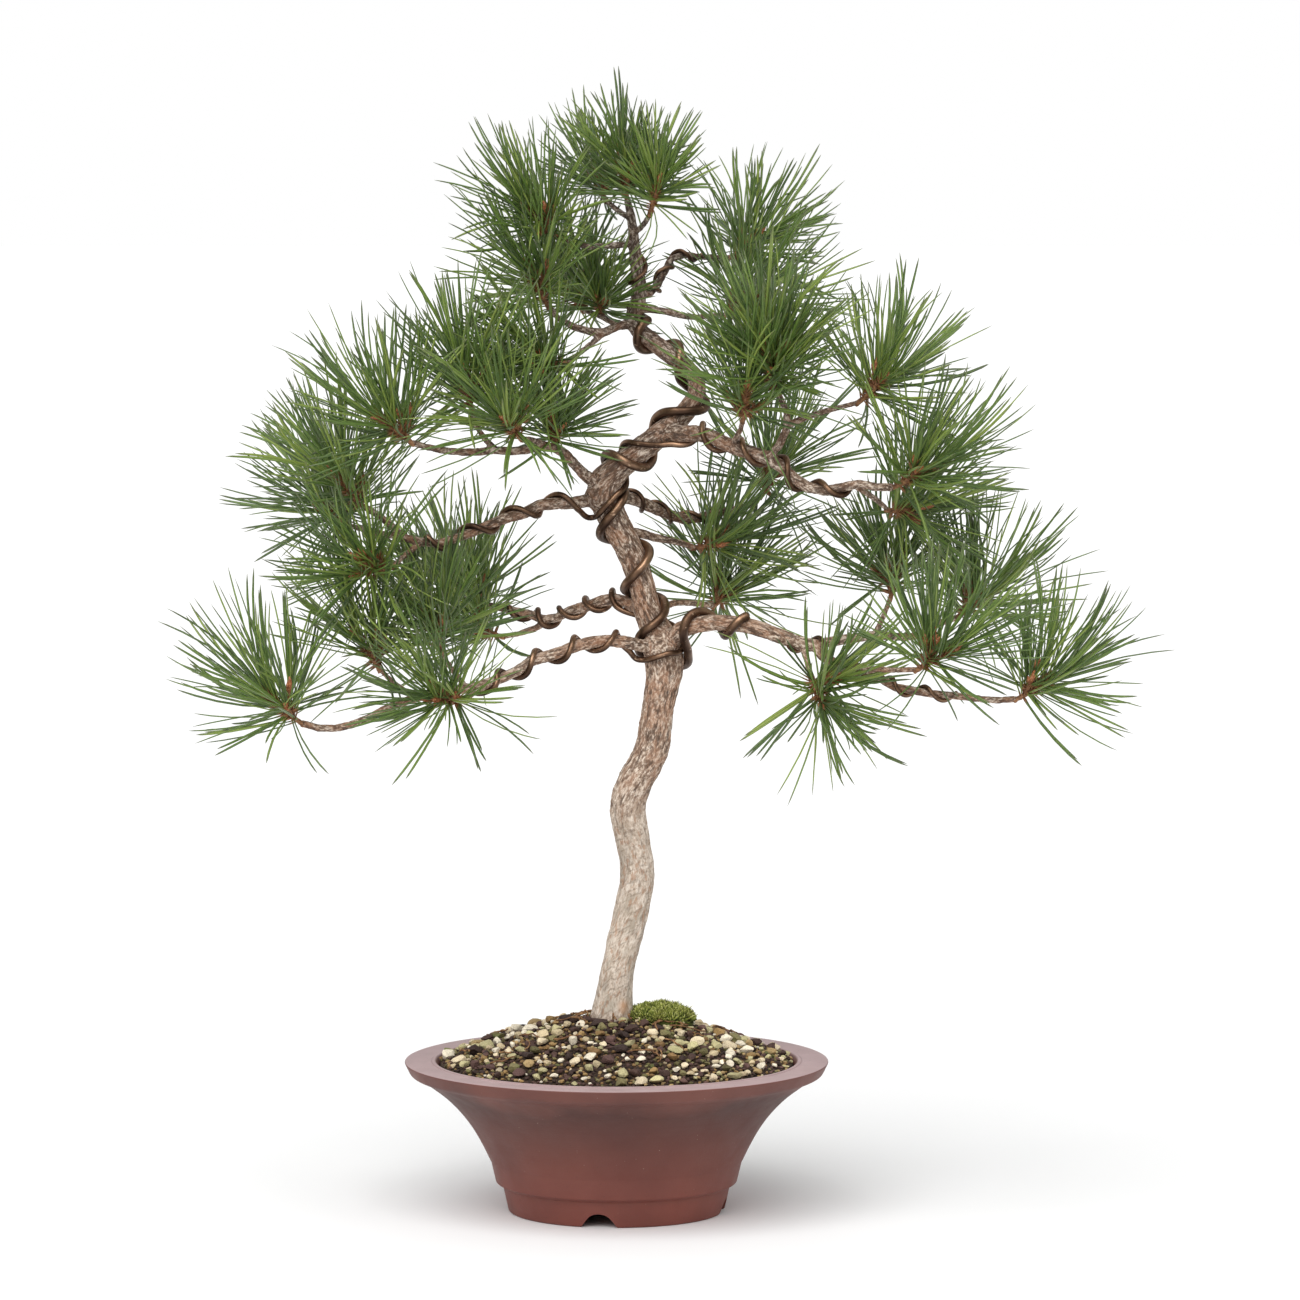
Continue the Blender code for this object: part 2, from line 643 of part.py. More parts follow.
def tie_path():
    """The wire that holds the roots: up one floor hole, over them, and down the other."""
    under = FOOT_RECESS - GAP - TIE_RADIUS
    x = TIE_HOLE_OFFSET
    shoulder = POT_HEIGHT - TIE_SHOULDER
    crown = POT_HEIGHT + TIE_CROWN
    points = [
        (-x - TIE_TAIL, 0, under), (-x, 0, under), (-x, 0, shoulder),
        (-0.5 * x, -TIE_FRONT, crown), (0.5 * x, -TIE_FRONT, crown), (x, 0, shoulder),
        (x, 0, under), (x + TIE_TAIL, 0, under),
    ]
    path = wire_rows(rounded_corners(points, TIE_BEND), TIE_RADIUS)
    wood = np.vstack([capsules(rings["trunk"]), *map(capsules, roots)])
    return pushed_clear(path, wood, 2 * GAP, easing=0)


def root_paths():
    """Main roots, spread evenly and sloping down into the soil."""
    x, y = stems["trunk"][0, :2]
    top = POT_HEIGHT + ROOT_TOP
    paths = []
    for index in range(ROOT_COUNT):
        angle = ROOT_TURN + index * math.tau / ROOT_COUNT
        rows = []
        for share in np.linspace(0, 1, 6):
            out = ROOT_REACH * share
            swing = angle + ROOT_SWING * math.sin(2.5 * share + index)
            radius = ROOT_RADIUS + (ROOT_TIP_RADIUS - ROOT_RADIUS) * share
            drop = ROOT_DROP * share**1.4
            rows.append((x + out * math.cos(swing), y + out * math.sin(swing), top - drop, radius))
        paths.append(np.array(rows))
    return paths


def mound_profile(radius):
    edge = inner_wall()[-1][0]
    share = min(radius / edge, 1)
    return POT_HEIGHT - MOUND_EDGE_DROP + (MOUND_RISE + MOUND_EDGE_DROP) * (1 - share**MOUND_POWER)


def mound_bump(x, y):
    """Small unevenness of the raked soil, fading out at the pot's lip."""
    edge = inner_wall()[-1][0]
    fade = 1 - min(math.hypot(x, y) / edge, 1) ** 4
    return MOUND_BUMP * fade * noise.noise(Vector((x, y, 0)) * 90)


def mound_points(rise):
    """Top of the soil from its middle to its edge, as radius and height."""
    edge = inner_wall()[-1][0] - 1.5 * GAP
    rings = [edge * index / MOUND_RINGS for index in range(MOUND_RINGS + 1)]
    return [(radius, mound_profile(radius) + rise) for radius in rings]


def roughen(thing):
    """Lifts the vertices of the mound's top by its bumps."""
    thing.data = evaluated_mesh(thing)
    thing.modifiers.clear()
    for vert in thing.data.vertices:
        radius = math.hypot(vert.co.x, vert.co.y)
        if abs(vert.co.z - mound_profile(radius)) < 2 * GAP:
            vert.co.z += mound_bump(vert.co.x, vert.co.y)


def buried_trunk():
    """The room that the trunk's foot needs in the soil and the moss."""
    foot = rings["trunk"][:BURIED_RINGS]
    return tube("trunk_room", foot, TRUNK_SIDES, cutters, 1.5 * GAP)


def build_soil():
    """Everything inside the pot up to the mound, with room for what is buried in it."""
    wall = [(radius - 1.5 * GAP, height + GAP) for radius, height in inner_wall()]
    top = mound_points(0)
    outline = top[:-1] + [(wall[-1][0], top[-1][1])] + list(reversed(wall[:-1]))
    outline.append((0, wall[0][1]))
    soil = turned("soil", outline, False, parts)
    roughen(soil)
    buried = [
        buried_trunk(),
        tube("clip_room", clip_path(), WIRE_SIDES, cutters, 2 * GAP),
        tube("tie_room", tie_path(), WIRE_SIDES, cutters, 2 * GAP),
    ]
    buried += [tube("root_room", path, ROOT_SIDES, cutters, 1.5 * GAP) for path in roots]
    half = (SCREEN_HOLES * (SCREEN_HOLE + SCREEN_BAR) + SCREEN_BAR) / 2 + GAP
    depth = SCREEN_THICKNESS + 2 * GAP
    mesh = bpy.data.meshes.new("screen_room")
    shape = bmesh.new()
    bmesh.ops.create_cube(shape, size=2)
    bmesh.ops.scale(shape, vec=(half, half, depth), verts=shape.verts)
    bmesh.ops.translate(shape, vec=(0, 0, screen_height()), verts=shape.verts)
    shape.to_mesh(mesh)
    shape.free()
    buried.append(new_object("screen_room", mesh, cutters))
    for tool in buried:
        combine(soil, tool, "DIFFERENCE")
    soil.data.materials.append(grit)
    return soil


def build_moss():
    """A low cushion on the mound beside the trunk."""
    x, y = MOSS_CENTRE
    mesh = bpy.data.meshes.new("moss")
    shape = bmesh.new()
    bmesh.ops.create_icosphere(shape, subdivisions=3, radius=1)
    bmesh.ops.scale(shape, vec=MOSS_SIZE, verts=shape.verts)
    foot = mound_profile(math.hypot(x, y))
    bmesh.ops.translate(shape, vec=(x, y, foot), verts=shape.verts)
    shape.to_mesh(mesh)
    shape.free()
    moss = new_object("moss", mesh, parts)
    top = mound_points(GAP)
    base = POT_HEIGHT - MOUND_RISE
    ground = turned("mound_room", [*top, (top[-1][0], base), (0, base)], False, cutters)
    roughen(ground)
    combine(moss, ground, "DIFFERENCE")
    combine(moss, buried_trunk(), "DIFFERENCE")
    moss.data.materials.append(moss_green)
    return moss


# Wood

def tube_sides(path):
    return BRANCH_SIDES if path[0, 3] > TWIG_RADIUS * GIRTH else TWIG_SIDES


def build_trunk():
    """The trunk with its roots and the small twigs of the apex, grown as one piece."""
    trunk = tube("trunk", rings["trunk"], TRUNK_SIDES, parts)
    for path in roots:
        combine(trunk, tube("root", path, ROOT_SIDES, cutters), "UNION")
    for twig in TRUNK_TWIGS:
        combine(trunk, tube("twig", rings[f"trunk.{twig}"], TWIG_SIDES, cutters), "UNION")
    trunk.data.materials.append(bark)
    smooth_shading(trunk)
    return trunk


def build_branch(name):
    """A branch with its twigs, its foot fitted to the trunk's surface."""
    routes = [rings[key] for key in rings if key.split(".")[0] == name]
    branch = tube(f"branch_{name}", routes[0], tube_sides(routes[0]), parts)
    for route in routes[1:]:
        combine(branch, tube("twig", route, tube_sides(route), cutters), "UNION")
    combine(branch, tube("trunk_room", rings["trunk"], TRUNK_SIDES, cutters, GAP), "DIFFERENCE")
    keep_largest_piece(branch)
    branch.data.materials.append(bark)
    smooth_shading(branch)
    return branch


def keep_largest_piece(thing):
    """Removes what a cut left on the trunk's far side."""
    shape = bmesh.new()
    shape.from_mesh(thing.data)
    groups = []
    seen = set()
    for start in shape.verts:
        if start in seen:
            continue
        seen.add(start)
        group = [start]
        for vert in group:
            for edge in vert.link_edges:
                other = edge.other_vert(vert)
                if other not in seen:
                    seen.add(other)
                    group.append(other)
        groups.append(group)
    groups.sort(key=len)
    for group in groups[:-1]:
        bmesh.ops.delete(shape, geom=group, context="VERTS")
    shape.to_mesh(thing.data)
    shape.free()


# Training wires

def place_along(stem, place):
    """Length along a stem of a place given as trunk height or as branch length."""
    path = stems[stem]
    if stem != "trunk":
        return place * MM * TREE_SCALE
    height = POT_HEIGHT + place * MM * TREE_SCALE
    return np.interp(height, path[:, 2], lengths_along(path))


def beside(stem, along, turns, wire_radius):
    """A point of a wire beside a stem."""
    path = stems[stem]
    lengths = lengths_along(path)
    along = min(max(along, 0), lengths[-1])
    x, y, z, radius = [np.interp(along, lengths, column) for column in path.T]
    after = [np.interp(along + 2 * MM, lengths, column) for column in path.T[:3]]
    before = [np.interp(along - 2 * MM, lengths, column) for column in path.T[:3]]
    forward = (Vector(after) - Vector(before)).normalized()
    front = Vector((0, -1, 0))
    front = (front - forward * front.dot(forward)).normalized()
    side = forward.cross(front)
    reach = float(radius + wire_radius + GAP) / math.cos(math.pi / WIRE_STEPS_PER_TURN)
    angle = turns * math.tau
    return Vector((x, y, z)) + reach * (math.cos(angle) * front + math.sin(angle) * side)


def wire_path(radius, stations):
    points = []
    for (stem, place, turns), (next_stem, next_place, next_turns) in zip(stations, stations[1:]):
        start = place_along(stem, place)
        if stem != next_stem:
            points.append(beside(stem, start, turns, radius))
            continue
        end = place_along(stem, next_place)
        count = max(1, math.ceil(abs(next_turns - turns) * WIRE_STEPS_PER_TURN))
        for share in np.linspace(0, 1, count, endpoint=False):
            along = start + (end - start) * share
            points.append(beside(stem, along, turns + (next_turns - turns) * share, radius))
    stem, place, turns = stations[-1]
    points.append(beside(stem, place_along(stem, place), turns, radius))
    return wire_rows(points, radius)


def build_wire(name, radius, stations, obstacles):
    path = pushed_clear(wire_path(radius, stations), obstacles, 1.3 * GAP)
    made = tube(f"wire_{name}", path, WIRE_SIDES, parts)
    made.data.materials.append(anodised)
    smooth_shading(made)
    return capsules(path)


# Needle tufts

def tuft_frame(path):
    """Foot and direction of the tuft at a twig's tip: it turns up from the twig."""
    tip = Vector(path[-1, :3])
    heading = (tip - Vector(path[-6, :3])).normalized()
    heading = (heading + Vector((0, 0, SHOOT_LIFT))).normalized()
    return tip + heading * GAP, heading


def shoot_capsule(path):
    """One capsule round the spindle of the tuft at a twig's tip."""
    foot, heading = tuft_frame(path)
    start = foot + heading * SHOOT_RADIUS
    end = foot + heading * (SHOOT_LENGTH - SHOOT_RADIUS)
    return np.array([[*start, SHOOT_RADIUS, *end, SHOOT_RADIUS]])


def build_tuft(name, path, needle_length, obstacles, order):
    """A leafy shoot: a spindle with its needle bundles as tapering spikes, fanned forwards."""
    pick = random.Random(order)
    foot, heading = tuft_frame(path)
    centre = foot + heading * SHOOT_LENGTH / 2
    turn = Vector((0, 0, 1)).rotation_difference(heading).to_matrix()
    shape = bmesh.new()
    bmesh.ops.create_icosphere(shape, subdivisions=2, radius=1)
    bmesh.ops.rotate(
        shape, verts=shape.verts, cent=(0, 0, 0),
        matrix=Vector((1, 0, 0)).rotation_difference(
            Vector((math.cos(order), math.sin(order), 0))).to_matrix(),
    )
    faces = [
        face for face in shape.faces
        if face.calc_center_median().normalized().z > SPIKE_REAR_LIMIT
    ]
    pick.shuffle(faces)
    plans = []
    for face in faces[:TUFT_SPIKES]:
        local = face.calc_center_median().normalized()
        lean = SPIKE_SPREAD * (1 - local.z) / (1 - SPIKE_REAR_LIMIT)
        around = math.atan2(local.y, local.x)
        way = Vector((math.sin(lean) * math.cos(around), math.sin(lean) * math.sin(around),
                      math.cos(lean)))
        plans.append((face, turn @ way, pick.uniform(0.9, 1.0)))
    for vert in shape.verts:
        stretched = Vector((vert.co.x * SHOOT_RADIUS, vert.co.y * SHOOT_RADIUS,
                            vert.co.z * SHOOT_LENGTH / 2))
        vert.co = centre + turn @ stretched
    own = []
    for face, way, share in plans:
        base = face.calc_center_median()
        width = max((vert.co - base).length for vert in face.verts)
        for shorter in SPIKE_LENGTHS:
            end = base + way * (needle_length * share * shorter)
            spike = np.array([[*base, SPIKE_BASE_SHARE * width, *end, SPIKE_TIP_RADIUS]])
            if closest(spike, obstacles)[0].min() > GAP:
                spiked = bmesh.ops.poke(shape, faces=[face])
                spiked["verts"][0].co = end
                own.append(spike[0])
                break
    mesh = bpy.data.meshes.new(name)
    shape.to_mesh(mesh)
    shape.free()
    made = new_object(name, mesh, parts, needle_green)
    made.data.set_sharp_from_angle(angle=math.radians(60))
    return np.array(own).reshape(-1, 8)


# The whole object

def centre_on_origin(frame):
    """Moves the whole object so that the middle of its outer box stands on the origin."""
    bpy.context.view_layer.update()
    graph = bpy.context.evaluated_depsgraph_get()
    lows = []
    highs = []
    for thing in parts.objects:
        mesh = thing.evaluated_get(graph).to_mesh()
        corners = np.empty(len(mesh.vertices) * 3, np.float32)
        mesh.vertices.foreach_get("co", corners)
        lows.append(corners.reshape(-1, 3).min(axis=0))
        highs.append(corners.reshape(-1, 3).max(axis=0))
        thing.evaluated_get(graph).to_mesh_clear()
    low = np.min(lows, axis=0)
    high = np.max(highs, axis=0)
    for thing in [*parts.objects, *cutters.objects]:
        thing.parent = frame
    middle = (low + high) / 2
    frame.location = (-middle[0], -middle[1], -low[2])


clear_scene()
parts = new_collection("bonsai")
cutters = new_collection("cutters")

clay = material("unglazed_clay", (0.19, 0.075, 0.06), 0.62)
plastic = material("black_plastic", (0.03, 0.03, 0.03), 0.5)
bare_wire = material("aluminium_wire", (0.75, 0.73, 0.7), 0.35, 1)
grit = material("soil_grit", (0.2, 0.15, 0.09), 0.9)
moss_green = material("moss_green", (0.08, 0.16, 0.03), 0.95)
bark = material("pine_bark", (0.42, 0.33, 0.25), 0.85)
anodised = material("bronze_anodised_wire", (0.28, 0.16, 0.09), 0.35, 1)
needle_green = material("needle_green", (0.09, 0.17, 0.06), 0.55)

stems = {"trunk": stem_path(TRUNK_ROUTE)}
for twig, (route, first, last) in TRUNK_TWIGS.items():
    stems[f"trunk.{twig}"] = stem_path(route, first, last)
for branch, routes in BRANCHES.items():
    for twig, (route, first, last) in routes.items():
        stems[f"{branch}.{twig}"] = stem_path(route, first, last)
rings = {name: resample(path, STEM_STEP) for name, path in stems.items()}
roots = root_paths()

build_pot()
build_screen()
clip = tube("mesh_clip", clip_path(), WIRE_SIDES, parts)
clip.data.materials.append(bare_wire)
tie = tube("root_tie_wire", tie_path(), WIRE_SIDES, parts)
tie.data.materials.append(bare_wire)
build_soil()
build_moss()
build_trunk()
for branch in BRANCHES:
    build_branch(branch)

solid_so_far = np.vstack([capsules(path) for path in rings.values()])
for wire, (radius, stations) in WIRES.items():
    laid = build_wire(wire, radius, stations, solid_so_far)
    solid_so_far = np.vstack([solid_so_far, laid])

tipped = [name for name in stems if name not in FORKED]
shoots = {name: shoot_capsule(stems[name]) for name in tipped}
for order, name in enumerate(tipped):
    stem, _, twig = name.partition(".")
    label = "apex" if name == "trunk" else f"{stem}_{twig}"
    others = [shoot for other, shoot in shoots.items() if other != name]
    needle_length = NEEDLE_LENGTH * NEEDLE_SHARES.get(name, 1)
    laid = build_tuft(
        f"tuft_{label}", stems[name], needle_length, np.vstack([solid_so_far, *others]), order
    )
    solid_so_far = np.vstack([solid_so_far, laid])

tree_frame = bpy.data.objects.new("bonsai_frame", None)
bpy.context.scene.collection.objects.link(tree_frame)
centre_on_origin(tree_frame)
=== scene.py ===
"""Looks of the potted pine bonsai: bark, needles, wires, grit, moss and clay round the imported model."""
import functools
import heapq
import itertools
import math
import random

import bmesh
import bpy
import numpy as np
from mathutils import Matrix, Vector, noise
from mathutils.bvhtree import BVHTree


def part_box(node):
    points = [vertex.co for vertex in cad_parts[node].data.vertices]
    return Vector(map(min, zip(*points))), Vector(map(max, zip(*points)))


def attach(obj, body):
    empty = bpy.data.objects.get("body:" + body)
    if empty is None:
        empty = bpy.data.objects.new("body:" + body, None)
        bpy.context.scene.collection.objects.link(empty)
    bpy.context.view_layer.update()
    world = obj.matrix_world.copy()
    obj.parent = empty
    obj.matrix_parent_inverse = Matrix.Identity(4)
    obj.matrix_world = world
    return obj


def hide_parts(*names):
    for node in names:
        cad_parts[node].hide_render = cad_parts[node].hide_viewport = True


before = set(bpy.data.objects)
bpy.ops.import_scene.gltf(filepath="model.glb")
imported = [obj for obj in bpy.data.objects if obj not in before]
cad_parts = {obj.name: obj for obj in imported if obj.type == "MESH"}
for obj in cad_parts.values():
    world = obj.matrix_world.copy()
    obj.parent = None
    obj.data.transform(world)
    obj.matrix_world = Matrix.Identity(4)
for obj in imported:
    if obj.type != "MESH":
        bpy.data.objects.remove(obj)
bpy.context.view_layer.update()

MM = 0.001
WELD = 5e-6
GOLDEN_ANGLE = math.radians(137.5)
UP = np.array((0.0, 0.0, 1.0))

NODES = sorted(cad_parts)
TUFT_NODES = [name for name in NODES if name.startswith("tuft_")]
BRANCH_NODES = [name for name in NODES if name.startswith("branch_")]
WIRE_NODES = [name for name in NODES if name.startswith("wire_")]
WIRE_SIDES = 6

POT_LOW, POT_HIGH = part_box("pot")
AXIS_X = (POT_LOW.x + POT_HIGH.x) / 2
AXIS_Y = (POT_LOW.y + POT_HIGH.y) / 2
POT_HEIGHT = POT_HIGH.z
RIM_RADIUS = (POT_HIGH.x - POT_LOW.x) / 2


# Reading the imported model

def welded(*names):
    """The named CAD nodes as one bmesh, with shared corners joined."""
    shape = bmesh.new()
    for name in names:
        shape.from_mesh(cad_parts[name].data)
    bmesh.ops.remove_doubles(shape, verts=shape.verts, dist=WELD)
    return shape


def tree_of(*names):
    """The named CAD nodes as one tree for finding surfaces."""
    shape = welded(*names)
    tree = BVHTree.FromBMesh(shape)
    shape.free()
    return tree


def next_ring(ring, seen):
    """The corners one edge on from a ring that haven't been seen before."""
    found = []
    for vert in ring:
        for edge in vert.link_edges:
            other = edge.other_vert(vert)
            if other not in seen:
                seen.add(other)
                found.append(other)
    return found


def tube_line(name):
    """Centres and radii of the rings of a CAD tube, from one end to the other."""
    shape = welded(name)
    verts = list(shape.verts)
    ring = verts[:1]
    seen = set(ring)
    while ring:
        end = ring[-1].co
        ring = next_ring(ring, seen)
    ring = sorted(verts, key=lambda vert: (vert.co - end).length)[:WIRE_SIDES]
    seen = set(ring)
    centres, radii = [], []
    while ring:
        points = np.array([vert.co for vert in ring])
        centres.append(points.mean(axis=0))
        radii.append(np.linalg.norm(points - centres[-1], axis=1).mean())
        ring = next_ring(ring, seen)
    shape.free()
    return np.array(centres), np.array(radii)


def corners_of(node):
    """The corner points of a CAD node."""
    return np.array([vert.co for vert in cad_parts[node].data.vertices])


# Meshes

def unit(rows):
    rows = np.asarray(rows, float)
    return rows / np.maximum(np.linalg.norm(rows, axis=-1, keepdims=True), 1e-12)


def srgb(red, green, blue):
    """A linear colour from 8-bit display values."""
    linear = []
    for value in (red, green, blue):
        share = value / 255
        linear.append(share / 12.92 if share <= 0.04045 else ((share + 0.055) / 1.055) ** 2.4)
    return (*linear, 1.0)


def in_scene(name, data):
    """A new object of the scene."""
    made = bpy.data.objects.new(name, data)
    bpy.context.scene.collection.objects.link(made)
    return made


def mesh_from(shape, name):
    """A mesh with a bmesh's shape; the bmesh is freed."""
    mesh = bpy.data.meshes.new(name)
    shape.to_mesh(mesh)
    shape.free()
    return mesh


def finished(piece, finish):
    """Gives the piece one material."""
    piece.data.materials.clear()
    piece.data.materials.append(finish)


def fixed(piece, slot_name, *nodes):
    """Hides the CAD nodes that the piece stands for and sets it riding on the frame. The slot name is not used."""
    if nodes:
        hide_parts(*nodes)
    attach(piece, "root")


def new_piece(name, points, faces, materials, indices=None):
    """A smooth-shaded mesh object."""
    mesh = bpy.data.meshes.new(name)
    mesh.from_pydata(np.asarray(points, float).tolist(), [], faces)
    for finish in materials:
        mesh.materials.append(finish)
    if indices is not None:
        mesh.polygons.foreach_set("material_index", np.asarray(indices, np.int32))
    mesh.shade_smooth()
    return in_scene(name, mesh)


def keep_values(piece, **fields):
    """Point attributes that the materials read."""
    for key, values in fields.items():
        values = np.asarray(values, np.float32)
        kind = {1: ("FLOAT", "value"), 3: ("FLOAT_VECTOR", "vector"), 4: ("FLOAT_COLOR", "color")}
        width = 1 if values.ndim == 1 else values.shape[1]
        attribute = piece.data.attributes.new(key, kind[width][0], "POINT")
        attribute.data.foreach_set(kind[width][1], values.ravel())


def noise_at(points, scale, shift=(0, 0, 0)):
    """Smooth noise at each point."""
    return np.array([noise.noise(Vector(point * scale + shift)) for point in points])


def smooth_line(rows, per_span):
    """A Catmull-Rom curve through rows of numbers."""
    rows = np.asarray(rows, float)
    ends = np.vstack([2 * rows[0] - rows[1], rows, 2 * rows[-1] - rows[-2]])
    t = np.linspace(0, 1, per_span, endpoint=False)[:, None]
    spans = []
    for a, b, c, d in zip(ends, ends[1:], ends[2:], ends[3:]):
        curve = 2 * b + (c - a) * t + (2 * a - 5 * b + 4 * c - d) * t**2
        spans.append(0.5 * (curve + (3 * b - a - 3 * c + d) * t**3))
    return np.vstack([*spans, rows[-1:]])


def carried_frames(points):
    """Two directions across a line at each of its points, carried along without twisting."""
    ways = unit(np.gradient(points, axis=0))
    side = np.cross(ways[0], (0, 0, 1.0))
    if np.linalg.norm(side) < 0.1:
        side = np.cross(ways[0], (1.0, 0, 0))
    sides = []
    for way in ways:
        side = side - way * np.dot(side, way)
        side = side / np.linalg.norm(side)
        sides.append(side)
    sides = np.array(sides)
    return ways, sides, np.cross(ways, sides)


def tube_faces(rings, around):
    """Faces that join rings of points into a closed tube."""
    faces = []
    for low, step in itertools.product(range(0, (rings - 1) * around, around), range(around)):
        after = (step + 1) % around
        faces.append((low + step, low + after, low + around + after, low + around + step))
    faces.append(tuple(reversed(range(around))))
    faces.append(tuple(range((rings - 1) * around, rings * around)))
    return faces


def swept(points, radii, around):
    """Points and faces of a closed round tube along a line."""
    _, sides, tops = carried_frames(points)
    angles = np.arange(around) * math.tau / around
    circle = np.cos(angles)[None, :, None] * sides[:, None] + np.sin(angles)[None, :, None] * tops[:, None]
    rings = points[:, None] + circle * np.asarray(radii)[:, None, None]
    return rings.reshape(-1, 3), tube_faces(len(points), around)


class Heap:
    """Gathers many small shapes into one mesh."""

    def __init__(self):
        self.points = []
        self.faces = []
        self.indices = []
        self.fields = {}
        self.count = 0

    def add(self, points, faces, index=0, **fields):
        start = self.count
        self.points.append(np.asarray(points, float))
        self.faces.extend(tuple(corner + start for corner in face) for face in faces)
        self.indices.extend([index] * len(faces))
        self.count += len(points)
        for key, values in fields.items():
            self.fields.setdefault(key, []).append((start, self.count, np.asarray(values, float)))

    def piece(self, name, materials):
        """One object of all the shapes. A value that a shape wasn't given is 0 there."""
        made = new_piece(name, np.vstack(self.points), self.faces, materials, self.indices)
        for key, rows in self.fields.items():
            whole = np.zeros((self.count, *rows[0][2].shape[1:]))
            for start, end, values in rows:
                whole[start:end] = values
            keep_values(made, **{key: whole})
        return made


# Materials

class Nodes:
    """Short ways to add and join a material's nodes."""

    def __init__(self, name):
        self.material = bpy.data.materials.new(name)
        self.material.use_nodes = True
        self.tree = self.material.node_tree
        self.shader = self.tree.nodes["Principled BSDF"]

    def put(self, socket, value):
        """Joins another node's output to a socket, or sets the socket's own value."""
        if isinstance(value, bpy.types.NodeSocket):
            self.tree.links.new(value, socket)
        else:
            socket.default_value = value

    def add(self, kind, inputs, output=0, **settings):
        """Adds a node and returns one of its outputs."""
        node = self.tree.nodes.new(kind)
        for key, value in settings.items():
            setattr(node, key, value)
        for key, value in inputs.items():
            self.put(node.inputs[key], value)
        return node.outputs[output]

    def value(self, name, output="Fac"):
        """A point attribute of the piece."""
        return self.add("ShaderNodeAttribute", {}, output, attribute_name=name)

    def place(self):
        return self.add("ShaderNodeTexCoord", {}, "Object")

    def scaled(self, vector, factors):
        return self.add("ShaderNodeVectorMath", {0: vector, 1: factors}, operation="MULTIPLY")

    def upright(self, vector):
        """The Z value of a vector."""
        return self.add("ShaderNodeSeparateXYZ", {0: vector}, "Z")

    def facing(self):
        """How far the surface faces up, from -1 to 1."""
        return self.upright(self.add("ShaderNodeNewGeometry", {}, "Normal"))

    def math(self, operation, first, second, clamp=False):
        return self.add("ShaderNodeMath", {0: first, 1: second}, operation=operation, use_clamp=clamp)

    def noise(self, vector, scale, detail=3.0, roughness=0.5, distortion=0.0, along=None, long_scale=0.0):
        """Noise, drawn out along a stem where its length and a coarser scale for it are given."""
        inputs = {"Vector": vector, "Scale": scale, "Detail": detail, "Roughness": roughness,
                  "Distortion": distortion}
        if along is None:
            return self.add("ShaderNodeTexNoise", inputs, "Fac")
        inputs["W"] = self.math("MULTIPLY", along, long_scale / scale)
        return self.add("ShaderNodeTexNoise", inputs, "Fac", noise_dimensions="4D")

    def cells(self, vector, scale):
        return self.add("ShaderNodeTexVoronoi", {"Vector": vector, "Scale": scale}, "Distance")

    def ramp(self, source, *stops):
        """Colours or grey values at places along the source."""
        node = self.tree.nodes.new("ShaderNodeValToRGB")
        marks = node.color_ramp.elements
        while len(marks) < len(stops):
            marks.new(0.5)
        for mark, (place, colour) in zip(marks, stops):
            mark.position = place
            mark.color = colour if hasattr(colour, "__len__") else (colour, colour, colour, 1)
        self.put(node.inputs["Fac"], source)
        return node.outputs["Color"]

    def mix(self, share, first, second, kind="MIX"):
        inputs = {"Factor": share, 6: first, 7: second}
        return self.add("ShaderNodeMix", inputs, 2, data_type="RGBA", blend_type=kind)

    def coat(self, colour, over, source, start, full, share):
        """The colour with another over it: none where the source is at start, a share where it is at full."""
        return self.mix(self.ramp(source, (start, 0.0), (full, share)), colour, over)

    def between(self, source, first, last):
        """Two values spread over the middle of a noise's range."""
        return self.ramp(source, (0.3, first), (0.7, last))

    def bump(self, height, strength, distance, normal=None):
        inputs = {"Height": height, "Strength": strength, "Distance": distance}
        if normal is not None:
            inputs["Normal"] = normal
        return self.add("ShaderNodeBump", inputs, "Normal")

    def finish(self, colour, roughness, normal=None, **fixed):
        """Joins up the shader. A fixed value is set on the shader's own socket."""
        inputs = self.shader.inputs
        self.put(inputs["Base Color"], colour)
        self.put(inputs["Roughness"], roughness)
        if normal is not None:
            self.put(inputs["Normal"], normal)
        for key, value in fixed.items():
            inputs[key.replace("_", " ")].default_value = value
        return self.material


